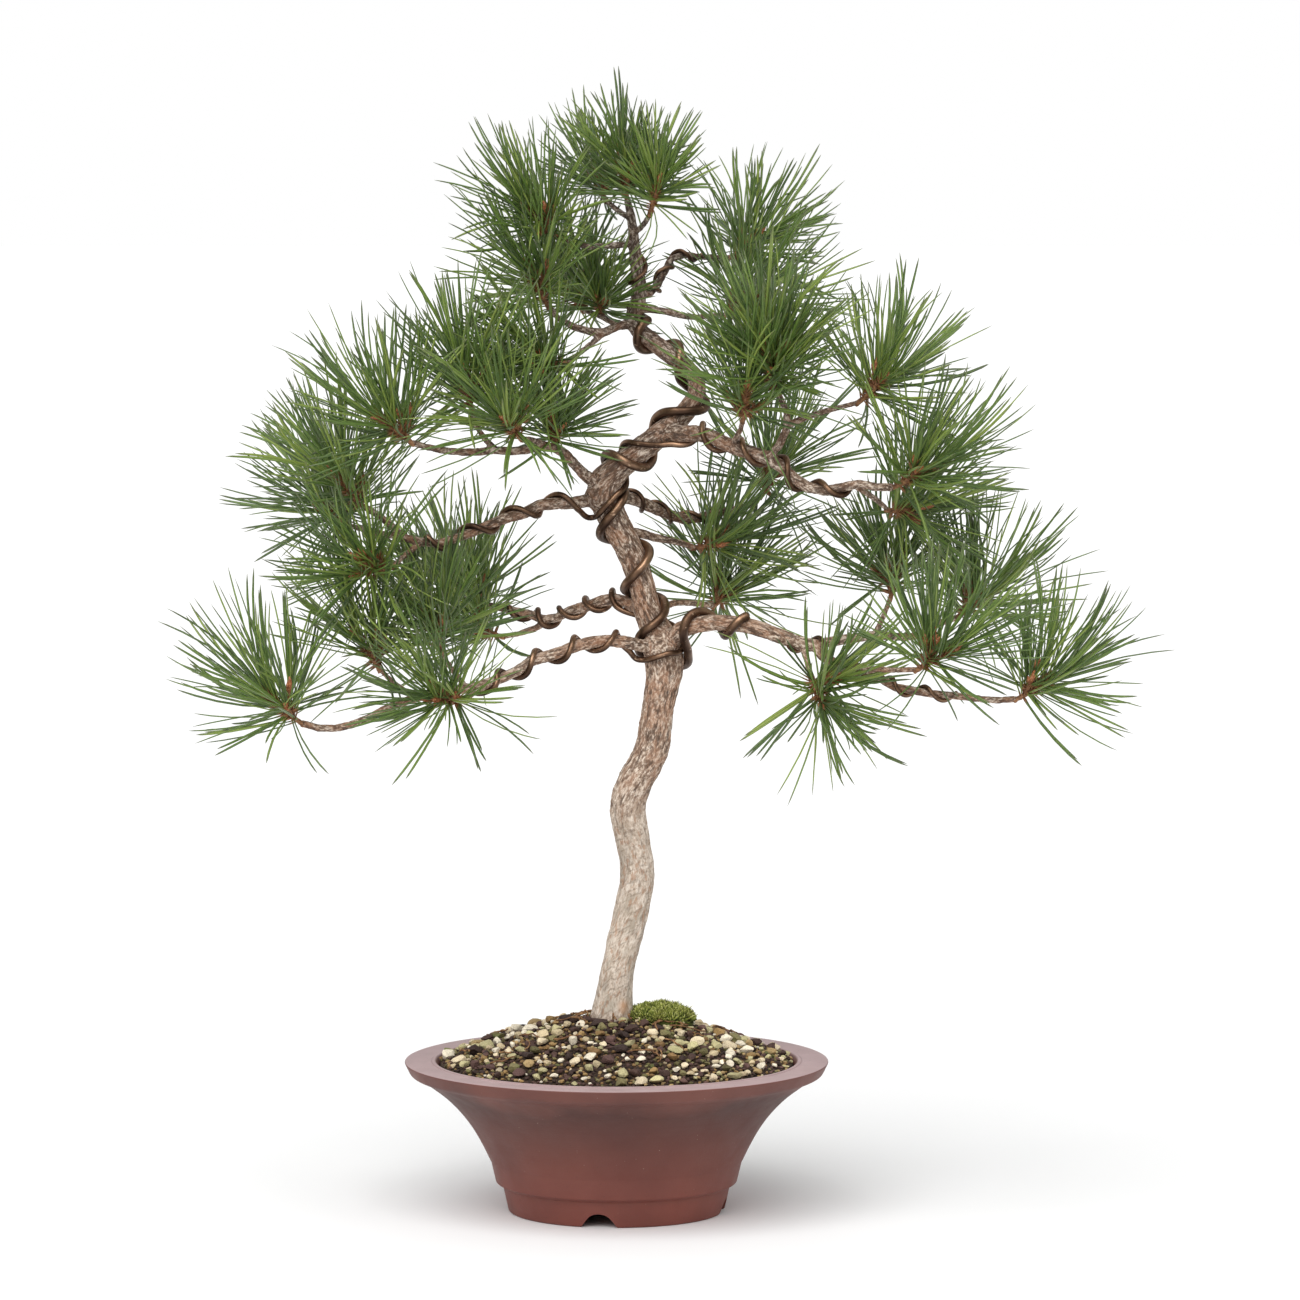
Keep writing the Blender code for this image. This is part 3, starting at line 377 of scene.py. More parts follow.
def clay_material():
    """Unglazed red-brown stoneware: paler where it faces up, redder below, darker under the rim as painted shade,
    with fine specks.
    """
    n = Nodes("unglazed_clay")
    place = n.place()
    cloud = n.noise(place, 22, detail=4)
    body = n.ramp(cloud, (0.36, srgb(97, 54, 45)), (0.5, srgb(105, 60, 50)), (0.64, srgb(113, 66, 55)))
    height = n.upright(n.scaled(place, (1, 1, 1 / POT_HEIGHT)))
    level = n.math("ADD", height, n.math("MULTIPLY", n.math("SUBTRACT", cloud, 0.5), 0.25))
    # painted shade: the body is multiplied darker under the rim at the top of the flare, and brighter and redder
    # low down
    shade = n.ramp(level, (0.15, (1.25, 1.0, 0.95, 1)), (0.5, (0.86, 0.72, 0.69, 1)),
                   (0.8, (0.5, 0.46, 0.46, 1)), (0.93, (0.9, 0.85, 0.86, 1)))
    body = n.mix(1.0, body, shade, "MULTIPLY")
    # paler where the surface faces up, in patches set by noise
    dust = n.ramp(n.facing(), (0.55, 0.0), (0.97, 1.0))
    patchiness_and_painted_shade = n.noise(place, 70, detail=5, roughness=0.6)
    dust = n.math("MULTIPLY", dust, n.math("ADD", n.math("MULTIPLY", patchiness_and_painted_shade, 0.5), 0.5))
    body = n.mix(dust, body, srgb(196, 172, 173))
    pale = n.ramp(n.cells(place, 420), (0.045, 1.0), (0.085, 0.0))
    sparse = n.ramp(n.noise(place, 90, detail=1), (0.6, 0.0), (0.66, 1.0))
    body = n.mix(n.math("MULTIPLY", pale, sparse), body, srgb(205, 180, 160))
    dark = n.ramp(n.cells(n.scaled(place, (1, 1, 1.3)), 300), (0.05, 0.8), (0.1, 0.0))
    body = n.mix(dark, body, srgb(70, 44, 40))
    rings = n.noise(n.scaled(place, (3, 3, 420)), 1, roughness=0.65)
    normal = n.bump(n.noise(place, 900), 0.25, 0.00025, n.bump(rings, 0.22, 0.0006))
    return n.finish(body, n.between(patchiness_and_painted_shade, 0.5, 0.64), normal)


def bark_material():
    """Pale, streaky young pine bark below, browner and flecked towards the crown."""
    n = Nodes("pine_bark")
    off = n.value("off", "Vector")
    along = n.value("along")
    # crown: how far the bark has turned dark, which on the branches also holds painted shade on their undersides
    crown = n.value("crown")
    fine = n.noise(off, 800, detail=4, roughness=0.7, along=along, long_scale=380)
    streak = n.noise(off, 480, roughness=0.65, distortion=0.4, along=along, long_scale=130)
    patch = n.noise(off, 120, along=along, long_scale=60)
    fleck = n.noise(off, 520, detail=2, roughness=0.6, along=along, long_scale=190)
    ringed = n.noise(off, 150, detail=2, along=along, long_scale=700)
    pale = n.ramp(fine, (0.34, srgb(150, 134, 118)), (0.47, srgb(198, 181, 164)), (0.62, srgb(224, 212, 198)))
    pale = n.coat(pale, srgb(160, 150, 134), patch, 0.48, 0.62, 0.6)
    pale = n.coat(pale, srgb(176, 136, 108), fleck, 0.56, 0.62, 0.6)
    pale = n.coat(pale, srgb(112, 96, 80), ringed, 0.58, 0.64, 0.45)
    brown = n.ramp(fine, (0.4, srgb(108, 84, 68)), (0.5, srgb(164, 137, 116)), (0.58, srgb(226, 208, 190)))
    brown = n.coat(brown, srgb(166, 116, 84), patch, 0.44, 0.56, 0.5)
    brown = n.coat(brown, srgb(94, 66, 48), fleck, 0.54, 0.59, 0.8)
    dark = n.ramp(fine, (0.4, srgb(60, 47, 40)), (0.5, srgb(118, 100, 87)), (0.59, srgb(202, 187, 174)))
    dark = n.coat(dark, srgb(126, 90, 68), patch, 0.48, 0.6, 0.5)
    dark = n.coat(dark, srgb(66, 50, 42), fleck, 0.54, 0.6, 0.75)
    colour = n.mix(n.ramp(crown, (0.0, 0.0), (0.5, 1.0)), pale, brown)
    colour = n.mix(n.ramp(crown, (0.5, 0.0), (1.0, 1.0)), colour, dark)
    crack = n.ramp(streak, (0.38, 1.0), (0.46, 0.0))
    depth = n.math("MULTIPLY", crack, n.ramp(crown, (0.0, 0.3), (0.35, 0.85), (1.0, 0.75)))
    colour = n.mix(depth, colour, srgb(78, 60, 48))
    groove = n.ramp(n.value("groove"), (0.2, 0.0), (0.9, 0.75))
    colour = n.mix(groove, colour, srgb(62, 46, 38))
    colour = n.mix(n.math("MULTIPLY", n.value("scar"), 0.75, clamp=True), colour, srgb(92, 70, 54))
    colour = n.mix(n.math("MULTIPLY", n.value("peel"), 0.8, clamp=True), colour, srgb(190, 146, 110))
    normal = n.bump(fine, 0.6, 0.0005, n.bump(streak, 0.7, 0.0011))
    return n.finish(colour, n.between(fine, 0.92, 0.76), normal)


def anodised_material():
    """Bronze-anodised aluminium, rubbed bright here and there, with painted shade darkening its undersides."""
    n = Nodes("bronze_anodised_wire")
    place = n.place()
    cloud = n.noise(place, 60, detail=4, roughness=0.6)
    colour = n.ramp(cloud, (0.38, srgb(92, 70, 56)), (0.5, srgb(130, 101, 80)), (0.62, srgb(172, 138, 112)))
    # painted shade: the wire is darkened where its surface faces down
    facing = n.math("ADD", n.math("MULTIPLY", n.facing(), 0.5), 0.5)
    patchiness_and_painted_shade = n.ramp(facing, (0.25, 0.75), (0.62, 0.0))
    colour = n.mix(patchiness_and_painted_shade, colour, srgb(58, 46, 40))
    scratch = n.ramp(n.noise(n.scaled(place, (260, 900, 500)), 1, detail=4), (0.64, 0.0), (0.72, 0.7))
    colour = n.mix(scratch, colour, srgb(208, 176, 148))
    normal = n.bump(n.noise(place, 700), 0.12, 0.0002)
    return n.finish(colour, n.between(cloud, 0.46, 0.34), normal, Metallic=1.0)


def bare_wire_material():
    """Plain aluminium wire, dulled in patches."""
    n = Nodes("aluminium_wire")
    cloud = n.noise(n.place(), 120)
    colour = n.ramp(cloud, (0.3, srgb(165, 162, 158)), (0.7, srgb(205, 203, 198)))
    return n.finish(colour, n.between(cloud, 0.45, 0.3), Metallic=1.0)


def plastic_material():
    """Black drainage mesh with dried soil on it."""
    n = Nodes("black_mesh_plastic")
    dust = n.ramp(n.noise(n.place(), 260, detail=4), (0.45, 0.0), (0.75, 0.6))
    colour = n.mix(dust, srgb(28, 28, 27), srgb(104, 88, 70))
    return n.finish(colour, n.ramp(dust, (0.0, 0.42), (1.0, 0.85)))


def needle_material():
    """Waxy green needles: paler bloom inside each pair, brown sheath, dry tip."""
    n = Nodes("pine_needle")
    reach = n.value("reach")
    green = n.ramp(n.value("tint"), (0.0, srgb(50, 74, 34)), (0.3, srgb(70, 98, 38)), (0.65, srgb(94, 122, 44)),
                   (1.0, srgb(138, 156, 68)))
    bloom = n.mix(0.35, green, srgb(138, 158, 108))
    colour = n.mix(n.math("MULTIPLY", n.value("inner"), 0.7), green, bloom)
    mottle = n.noise(n.place(), 420, detail=2)
    colour = n.coat(colour, srgb(140, 156, 86), mottle, 0.35, 0.75, 0.3)
    colour = n.coat(colour, srgb(92, 92, 74), reach, 0.84, 1.0, 0.85)
    colour = n.mix(n.ramp(reach, (0.05, 1.0), (0.1, 0.0)), colour, srgb(142, 96, 62))
    return n.finish(colour, n.between(mottle, 0.36, 0.5), n.bump(mottle, 0.15, 0.0002),
                    Subsurface_Weight=0.12, Subsurface_Scale=0.0008, Subsurface_Radius=(0.6, 1.0, 0.3))


def bud_material():
    """Overlapping papery scales, orange-brown with pale resinous edges."""
    n = Nodes("bud_scales")
    patch = n.noise(n.place(), 600)
    colour = n.ramp(patch, (0.3, srgb(120, 66, 38)), (0.5, srgb(168, 98, 58)), (0.7, srgb(198, 134, 88)))
    colour = n.coat(colour, srgb(220, 184, 150), n.value("scale_edge"), 0.55, 1.0, 0.8)
    return n.finish(colour, n.between(patch, 0.55, 0.72), n.bump(patch, 0.3, 0.0003))


def mottled_material(name, scale, detail, stops, rough, bump):
    """A dry plant surface that is mottled in a few tones."""
    n = Nodes(name)
    patch = n.noise(n.place(), scale, detail)
    return n.finish(n.ramp(patch, *stops), n.between(patch, *rough), n.bump(patch, *bump))


def grain_material():
    """Crushed stone grains in their own colours, with pores, dust and green film."""
    n = Nodes("grit_grains")
    place = n.place()
    fine = n.noise(place, 1100, detail=4, roughness=0.6)
    shade = n.ramp(fine, (0.25, 0.62), (0.5, 0.98), (0.75, 1.16))
    colour = n.mix(1.0, n.value("grain", "Color"), shade, "MULTIPLY")
    film = n.ramp(n.noise(place, 95), (0.56, 0.0), (0.72, 0.5))
    colour = n.mix(n.math("MULTIPLY", film, n.value("film")), colour, srgb(104, 124, 58))
    normal = n.bump(fine, 0.5, 0.0005, n.bump(n.cells(place, 1500), 0.4, 0.0005))
    return n.finish(colour, n.between(fine, 0.9, 0.68), normal)


def fines_material():
    """The dark, damp dust and crumbs between the grains."""
    n = Nodes("soil_fines")
    place = n.place()
    crumb = n.noise(place, 700, detail=5, roughness=0.7)
    colour = n.ramp(crumb, (0.35, srgb(22, 14, 8)), (0.5, srgb(52, 35, 22)), (0.65, srgb(106, 76, 48)))
    normal = n.bump(crumb, 0.8, 0.001, n.bump(n.cells(place, 480), 0.9, 0.0015))
    return n.finish(colour, n.between(crumb, 0.95, 0.8), normal)


def moss_material():
    """Olive shoots with yellow-green tips."""
    n = Nodes("moss_green")
    colour = n.ramp(n.value("tint"), (0.0, srgb(42, 44, 12)), (0.4, srgb(96, 108, 38)), (0.75, srgb(168, 174, 80)),
                    (1.0, srgb(226, 222, 154)))
    patch = n.noise(n.place(), 160)
    colour = n.coat(colour, srgb(120, 104, 52), patch, 0.45, 0.7, 0.3)
    return n.finish(colour, n.between(patch, 0.95, 0.8), n.bump(patch, 0.4, 0.001))


CLAY = clay_material()
BARK = bark_material()
ANODISED = anodised_material()
BARE_WIRE = bare_wire_material()
PLASTIC = plastic_material()
NEEDLE = needle_material()
GRAIN = grain_material()
FINES = fines_material()
MOSS = moss_material()
BUD = bud_material()
SHOOT = mottled_material(
    "shoot_skin", 380, 4, [(0.3, srgb(84, 58, 40)), (0.52, srgb(140, 98, 66)), (0.72, srgb(176, 132, 92))],
    (0.85, 0.7), (0.6, 0.0006))
LITTER = mottled_material(
    "dry_litter", 300, 3, [(0.3, srgb(78, 52, 32)), (0.5, srgb(124, 86, 54)), (0.7, srgb(170, 132, 88))],
    (0.9, 0.75), (0.4, 0.0005))


# Pot

POT_ROUND = 160
POT_TREE = tree_of("pot")
SECTION = Vector((math.cos(math.radians(45)), math.sin(math.radians(45)), 0))
WAIST_HEIGHT = 30 * MM
NECK_DROP = 10.2 * MM
FLARE_HEIGHTS = 6
FOOT_STEP = 16 * MM
FOOT_RECESS = 9 * MM
NOTCH_HALF_WIDTH = 10.5 * MM
NOTCH_CROWN = 8 * MM
TIE_HOLE_RADIUS = 2.5 * MM
POT_FLOOR = 16 * MM


def outer_wall(height):
    """Radius of the CAD pot's outer wall at a height."""
    middle = Vector((AXIS_X, AXIS_Y, height))
    return (POT_TREE.ray_cast(middle + SECTION * 2 * RIM_RADIUS, -SECTION)[0] - middle).length


def inner_wall(height):
    """Radius of the CAD pot's inner wall, or of the hole in its floor, at a height."""
    middle = Vector((AXIS_X, AXIS_Y, height))
    return (POT_TREE.ray_cast(middle, SECTION)[0] - middle).length


def rounded_outline(corners, steps=5):
    """A closed outline of (radius, height, rounding) corners with each corner turned into an arc."""
    outline = []
    count = len(corners)
    for index, (x, z, rounding) in enumerate(corners):
        here = Vector((x, z))
        if rounding == 0:
            outline.append(here)
            continue
        before = Vector(corners[index - 1][:2])
        after = Vector(corners[(index + 1) % count][:2])
        back = (before - here).normalized() * min(rounding, (before - here).length * 0.45)
        ahead = (after - here).normalized() * min(rounding, (after - here).length * 0.45)
        for step in range(steps + 1):
            t = step / steps
            outline.append(here + back * (1 - t) ** 2 + ahead * t**2)
    return outline


def pot_outline():
    """The turned section of the pot: inside, over the rim and down the outside to the foot ring."""
    heights = np.linspace(WAIST_HEIGHT, POT_HEIGHT - NECK_DROP, FLARE_HEIGHTS)
    outer = smooth_line([(outer_wall(z + 1e-5), z) for z in heights], 5)
    inner = smooth_line([(inner_wall(z + 1e-5), z) for z in heights], 5)
    drain = inner_wall((FOOT_RECESS + POT_FLOOR) / 2)
    lip = inner_wall(POT_HEIGHT - 0.1 * MM)
    face_foot = outer_wall(POT_HEIGHT - 7.3 * MM)
    foot_top = outer_wall(FOOT_STEP - 1.7 * MM)
    ring = inner_wall(FOOT_RECESS / 2)
    corners = [(drain, POT_FLOOR, 1 * MM), (inner_wall(POT_FLOOR + 1 * MM), POT_FLOOR, 3 * MM)]
    corners += [(r, z, 0) for r, z in inner[1:]]
    corners += [
        (inner_wall(POT_HEIGHT - 3.5 * MM), POT_HEIGHT - 3.5 * MM, 1.2 * MM),
        (lip, POT_HEIGHT, 1.1 * MM),
        (lip + 1.6 * MM, POT_HEIGHT, 0.8 * MM),
        (lip + 2.6 * MM, POT_HEIGHT - 0.7 * MM, 0.8 * MM),
        (RIM_RADIUS, POT_HEIGHT - 0.5 * MM, 1.3 * MM),
        (face_foot, POT_HEIGHT - 7.4 * MM, 1.4 * MM),
        (face_foot - 2.4 * MM, POT_HEIGHT - 8.6 * MM, 0.8 * MM),
    ]
    corners += [(r, z, 0) for r, z in outer[::-1]]
    corners += [
        (outer[0][0] - 0.9 * MM, WAIST_HEIGHT - 1.6 * MM, 0.7 * MM),
        (outer_wall(FOOT_STEP + 0.1 * MM), FOOT_STEP + 0.7 * MM, 0.9 * MM),
        (foot_top, FOOT_STEP - 1.3 * MM, 0.5 * MM),
        (foot_top - 0.2 * MM, FOOT_STEP - 2.2 * MM, 0.5 * MM),
        (outer_wall(1.3 * MM), 0, 1.6 * MM),
        (ring, 0, 1.2 * MM),
        (ring, FOOT_RECESS, 2 * MM),
        (drain, FOOT_RECESS, 1 * MM),
    ]
    return rounded_outline(corners)


def notch_angles():
    """Directions of the openings in the foot ring, from the crowns of the CAD pot's notches."""
    points = corners_of("pot") - (AXIS_X, AXIS_Y, 0)
    reach = np.hypot(points[:, 0], points[:, 1])
    crown = points[(points[:, 2] < FOOT_RECESS - 0.5 * MM) & (points[:, 2] > FOOT_RECESS - 1.5 * MM)
                   & (reach > RIM_RADIUS / 3)]
    quarter = np.degrees(np.arctan2(crown[:, 1], crown[:, 0])) % 90
    around = math.radians(float(np.median(quarter)))
    return [around + index * math.pi / 2 for index in range(4)]


def notch_tool(angle):
    """An arch with hollow shoulders, pushed through the foot ring."""
    profile = [(-NOTCH_HALF_WIDTH, -4 * MM)]
    for t in np.linspace(-1, 1, 25):
        profile.append((t * NOTCH_HALF_WIDTH, NOTCH_CROWN * (1 - abs(t) ** 2.6) ** 1.25))
    profile.append((NOTCH_HALF_WIDTH, -4 * MM))
    shape = bmesh.new()
    way = Vector((math.cos(angle), math.sin(angle), 0))
    side = Vector((-way.y, way.x, 0))
    rows = []
    for reach in (0.35 * RIM_RADIUS, 0.62 * RIM_RADIUS):
        middle = Vector((AXIS_X, AXIS_Y, 0)) + way * reach
        rows.append([shape.verts.new(middle + side * x + Vector((0, 0, z))) for x, z in profile])
    near, far = rows
    for corners in zip(near, near[1:] + near[:1], far[1:] + far[:1], far):
        shape.faces.new(corners)
    shape.faces.new(near[::-1])
    shape.faces.new(far)
    return tool_object(shape)


def tool_object(shape):
    """A cutter for the pot."""
    bmesh.ops.recalc_face_normals(shape, faces=shape.faces)
    return in_scene("tool", mesh_from(shape, "tool"))


def crossings(line, height):
    """Where along X a line of points passes through a height."""
    places = []
    for low, high in zip(line, line[1:]):
        if (low[2] - height) * (high[2] - height) < 0:
            places.append(low[0] + (high[0] - low[0]) * (height - low[2]) / (high[2] - low[2]))
    return places


def tie_hole_tool(x):
    """A round cutter through the pot's floor, where the tie wire passes."""
    shape = bmesh.new()
    bmesh.ops.create_cone(shape, cap_ends=True, segments=32, radius1=TIE_HOLE_RADIUS, radius2=TIE_HOLE_RADIUS,
                          depth=30 * MM)
    bmesh.ops.translate(shape, vec=(x, AXIS_Y, POT_FLOOR), verts=shape.verts)
    return tool_object(shape)


def applied(piece):
    """Turns the object's modifiers into its mesh."""
    bpy.context.view_layer.update()
    graph = bpy.context.evaluated_depsgraph_get()
    mesh = bpy.data.meshes.new_from_object(piece.evaluated_get(graph), depsgraph=graph)
    piece.modifiers.clear()
    piece.data = mesh
    return piece


def remeshed(piece, voxel):
    """One closed skin of even faces round everything in the piece."""
    skin = piece.modifiers.new("skin", "REMESH")
    skin.mode = "VOXEL"
    skin.voxel_size = voxel
    return applied(piece)


def build_pot():
    """The turned pot with its foot notches and tie holes cut."""
    outline = pot_outline()
    count = len(outline)
    points = []
    faces = []
    for turn in range(POT_ROUND):
        angle = turn * math.tau / POT_ROUND
        for r, z in outline:
            wobble = 0.18 * MM * noise.noise(Vector((math.cos(angle), math.sin(angle), z * 30)) * 1.4)
            radius = r + wobble if r > 0.5 * RIM_RADIUS else r
            points.append((AXIS_X + radius * math.cos(angle), AXIS_Y + radius * math.sin(angle), z))
        low = turn * count
        high = (turn + 1) % POT_ROUND * count
        for index in range(count):
            after = (index + 1) % count
            faces.append((low + index, low + after, high + after, high + index))
    pot = new_piece("clay_pot", points, faces, [CLAY])
    shape = bmesh.new()
    shape.from_mesh(pot.data)
    bmesh.ops.recalc_face_normals(shape, faces=shape.faces)
    shape.to_mesh(pot.data)
    shape.free()
    holes = crossings(tube_line("root_tie_wire")[0], (FOOT_RECESS + POT_FLOOR) / 2)
    tools = [notch_tool(angle) for angle in notch_angles()]
    tools += [tie_hole_tool(x) for x in holes]
    for tool in tools:
        cut = pot.modifiers.new("cut", "BOOLEAN")
        cut.operation = "DIFFERENCE"
        cut.solver = "EXACT"
        cut.object = tool
    applied(pot)
    for tool in tools:
        bpy.data.objects.remove(tool)
    edges = pot.modifiers.new("edges", "BEVEL")
    edges.width = 0.5 * MM
    edges.segments = 2
    edges.angle_limit = math.radians(50)
    applied(pot)
    pot.data.shade_smooth()
    pot.data.set_sharp_from_angle(angle=math.radians(40))
    fixed(pot, "clay", "pot")


# Wires

WIRE_SEAT = -0.05 * MM
WIRE_SWELL = 1.1


def drawn_close(line, radius, wood):
    """The wire's line drawn in to the bark wherever it runs just off it."""
    moves = np.zeros_like(line)
    for index, point in enumerate(line):
        spot, normal, _, distance = wood.find_nearest(Vector(point))
        outside = Vector(point) - spot
        side = -1 if outside.dot(normal) < 0 else 1
        excess = side * distance - radius - WIRE_SEAT
        share = np.interp(excess, (1.6 * MM, 2.6 * MM), (1, 0))
        moves[index] = -side * unit(outside) * excess * share
    for _ in range(3):
        moves[1:-1] = 0.5 * moves[1:-1] + 0.25 * (moves[:-2] + moves[2:])
    return line + moves


def shoulder(end, beside, reach):
    """The point near a tube's end where its rounding starts."""
    step = beside - end
    return end + step * min(1, reach / np.linalg.norm(step))


def build_wire(node, finish, slot_name, per_span, around, wood=None):
    """A round wire with softened ends in place of a CAD wire."""
    centres, radii = tube_line(node)
    line = smooth_line(centres, per_span)
    radius = float(np.median(radii))
    if wood:
        radius *= WIRE_SWELL
        line = drawn_close(line, radius, wood)
    shoulders = [shoulder(line[0], line[1], 0.35 * radius), shoulder(line[-1], line[-2], 0.35 * radius)]
    line = np.insert(line, (1, len(line) - 1), shoulders, axis=0)
    radii = np.full(len(line), radius)
    radii[[0, -1]] = 0.8 * radius
    points, faces = swept(line, radii, around)
    wire = new_piece(node + "_round", points, faces, [finish])
    wire.data.set_sharp_from_angle(angle=math.radians(50))
    fixed(wire, slot_name, node)


# Wood

WOOD_VOXEL = 0.8 * MM
SMOOTH_ROUNDS = 36
SMOOTH_SHARE = 0.34
SMOOTH_LOSS = 0.055
CROWN_BY_HEIGHT = ((120, 215, 245, 300, 340, 420, 560), (0, 0.05, 0.4, 0.45, 0.5, 0.7, 1.0))
# Place from the pot's axis in mm, size in mm and strength
KNOTS = [((31, -12, 308), 3.6, 1.0), ((-13, -10, 403), 4.2, 0.9), ((-14, -1, 262), 2.6, 0.5),
         ((14, 5, 190), 2.4, 0.4), ((-5, 8, 232), 3.0, 0.6), ((24, 10, 340), 3.2, 0.7)]


def fused_wood():
    """Trunk and branches as one closed skin, the branch feet drawn into the trunk."""
    trunk_tree = tree_of("trunk")
    shape = welded("trunk")
    for name in BRANCH_NODES:
        branch = welded(name)
        for vert in branch.verts:
            spot, normal, _, distance = trunk_tree.find_nearest(vert.co)
            if distance < 1 * MM:
                vert.co = spot - normal * 2.5 * MM
        foot = mesh_from(branch, "foot")
        shape.from_mesh(foot)
        bpy.data.meshes.remove(foot)
    return remeshed(in_scene("wood", mesh_from(shape, "wood")), WOOD_VOXEL)


def neighbour_mean(values, edges, degree):
    """The mean of each point's neighbours."""
    total = np.zeros_like(values)
    for column in range(values.shape[1]):
        total[:, column] = np.bincount(edges[:, 0], values[edges[:, 1], column], len(values))
        total[:, column] += np.bincount(edges[:, 1], values[edges[:, 0], column], len(values))
    return total / degree[:, None]


def mesh_arrays(mesh):
    """Points, edges and normals."""
    points = np.empty(len(mesh.vertices) * 3)
    mesh.vertices.foreach_get("co", points)
    edges = np.empty(len(mesh.edges) * 2, np.int32)
    mesh.edges.foreach_get("vertices", edges)
    normals = np.empty(len(mesh.vertices) * 3)
    mesh.vertex_normals.foreach_get("vector", normals)
    return points.reshape(-1, 3), edges.reshape(-1, 2), normals.reshape(-1, 3)


def lengths_from(points, edges, starts):
    """Distance of each point from the nearest start, along the mesh's edges."""
    steps = np.linalg.norm(points[edges[:, 0]] - points[edges[:, 1]], axis=1)
    beside = [[] for _ in range(len(points))]
    for (a, b), step in zip(edges.tolist(), steps.tolist()):
        beside[a].append((b, step))
        beside[b].append((a, step))
    found = [math.inf] * len(points)
    queue = [(0.0, int(start)) for start in starts]
    for _, start in queue:
        found[start] = 0.0
    while queue:
        length, here = heapq.heappop(queue)
        if length > found[here]:
            continue
        for other, step in beside[here]:
            longer = length + step
            if longer < found[other]:
                found[other] = longer
                heapq.heappush(queue, (longer, other))
    return np.array(found)


def stem_ways(points, edges, along, degree):
    """The direction in which the stem runs at each of its points."""
    steps = points[edges[:, 1]] - points[edges[:, 0]]
    gains = (along[edges[:, 1]] - along[edges[:, 0]])[:, None] * steps
    ways = np.zeros_like(points)
    for column in range(3):
        ways[:, column] = np.bincount(edges[:, 0], gains[:, column], len(points))
        ways[:, column] += np.bincount(edges[:, 1], gains[:, column], len(points))
    for _ in range(20):
        ways = unit(neighbour_mean(ways, edges, degree))
    return ways


def fibre_noise(off, along, ways, fine, long_fine):
    """Noise that is stretched along the stem whichever way the stem runs."""
    shares = ways**4
    shares = shares / shares.sum(axis=1, keepdims=True)
    found = np.zeros(len(off))
    for index, ((x, y, z), w, (a, b, c)) in enumerate(zip(off * fine, along * long_fine, shares)):
        for share, spot in ((a, (w, y + 7, z)), (b, (x, w, z + 13)), (c, (x + 3, y, w))):
            if share > 0.02:
                found[index] += share * noise.noise(spot)
    return found


def skin_tree(points, mesh):
    """A tree for finding the surface of a mesh whose points have moved."""
    return BVHTree.FromPolygons(points.tolist(), [tuple(face.vertices) for face in mesh.polygons])


def stem_radius(mesh, degree):
    """Half the wood's thickness at each point, evened out among neighbours."""
    points, edges, normals = mesh_arrays(mesh)
    tree = skin_tree(points, mesh)
    radius = np.empty(len(points))
    for index, (point, normal) in enumerate(zip(points, normals)):
        start = Vector(point - normal * 0.05 * MM)
        hit = tree.ray_cast(start, Vector(-normal), 60 * MM)[0]
        radius[index] = (hit - start).length / 2 if hit else 8 * MM
    radius = radius[:, None].clip(1 * MM, 14 * MM)
    for _ in range(12):
        radius = 0.5 * radius + 0.5 * neighbour_mean(radius, edges, degree)
    return radius


def crown_share(points, away):
    """How far the bark has turned from pale to dark: by height, out along branches and at the soil."""
    height = points[:, 2] / MM
    crown = np.interp(height, *CROWN_BY_HEIGHT)
    crown = np.maximum(crown, np.interp(away, (45, 110), (0, 0.6)))
    return np.maximum(crown, np.interp(height - POT_HEIGHT / MM, (14, 30), (0.45, 0)))


def carve_knots(points, normals):
    """Raises a collar round each knot and sinks its middle, and returns how scarred each point is."""
    scar = np.zeros(len(points))
    for (x, y, z), size, strength in KNOTS:
        middle = np.array((AXIS_X + x * MM, AXIS_Y + y * MM, z * MM))
        nearest = points[np.argmin(np.linalg.norm(points - middle, axis=1))]
        reach = np.linalg.norm(points - nearest, axis=1) / (size * MM)
        collar = np.exp(-((reach - 0.95) / 0.28) ** 2)
        hollow = np.exp(-((reach - 0.55) / 0.2) ** 2)
        points += normals * ((0.75 * collar - 0.45 * hollow) * strength * MM)[:, None]
        scar = np.maximum(scar, strength * hollow)
        scar = np.maximum(scar, 0.6 * strength * np.exp(-((reach - 1.25) / 0.12) ** 2))
    return scar


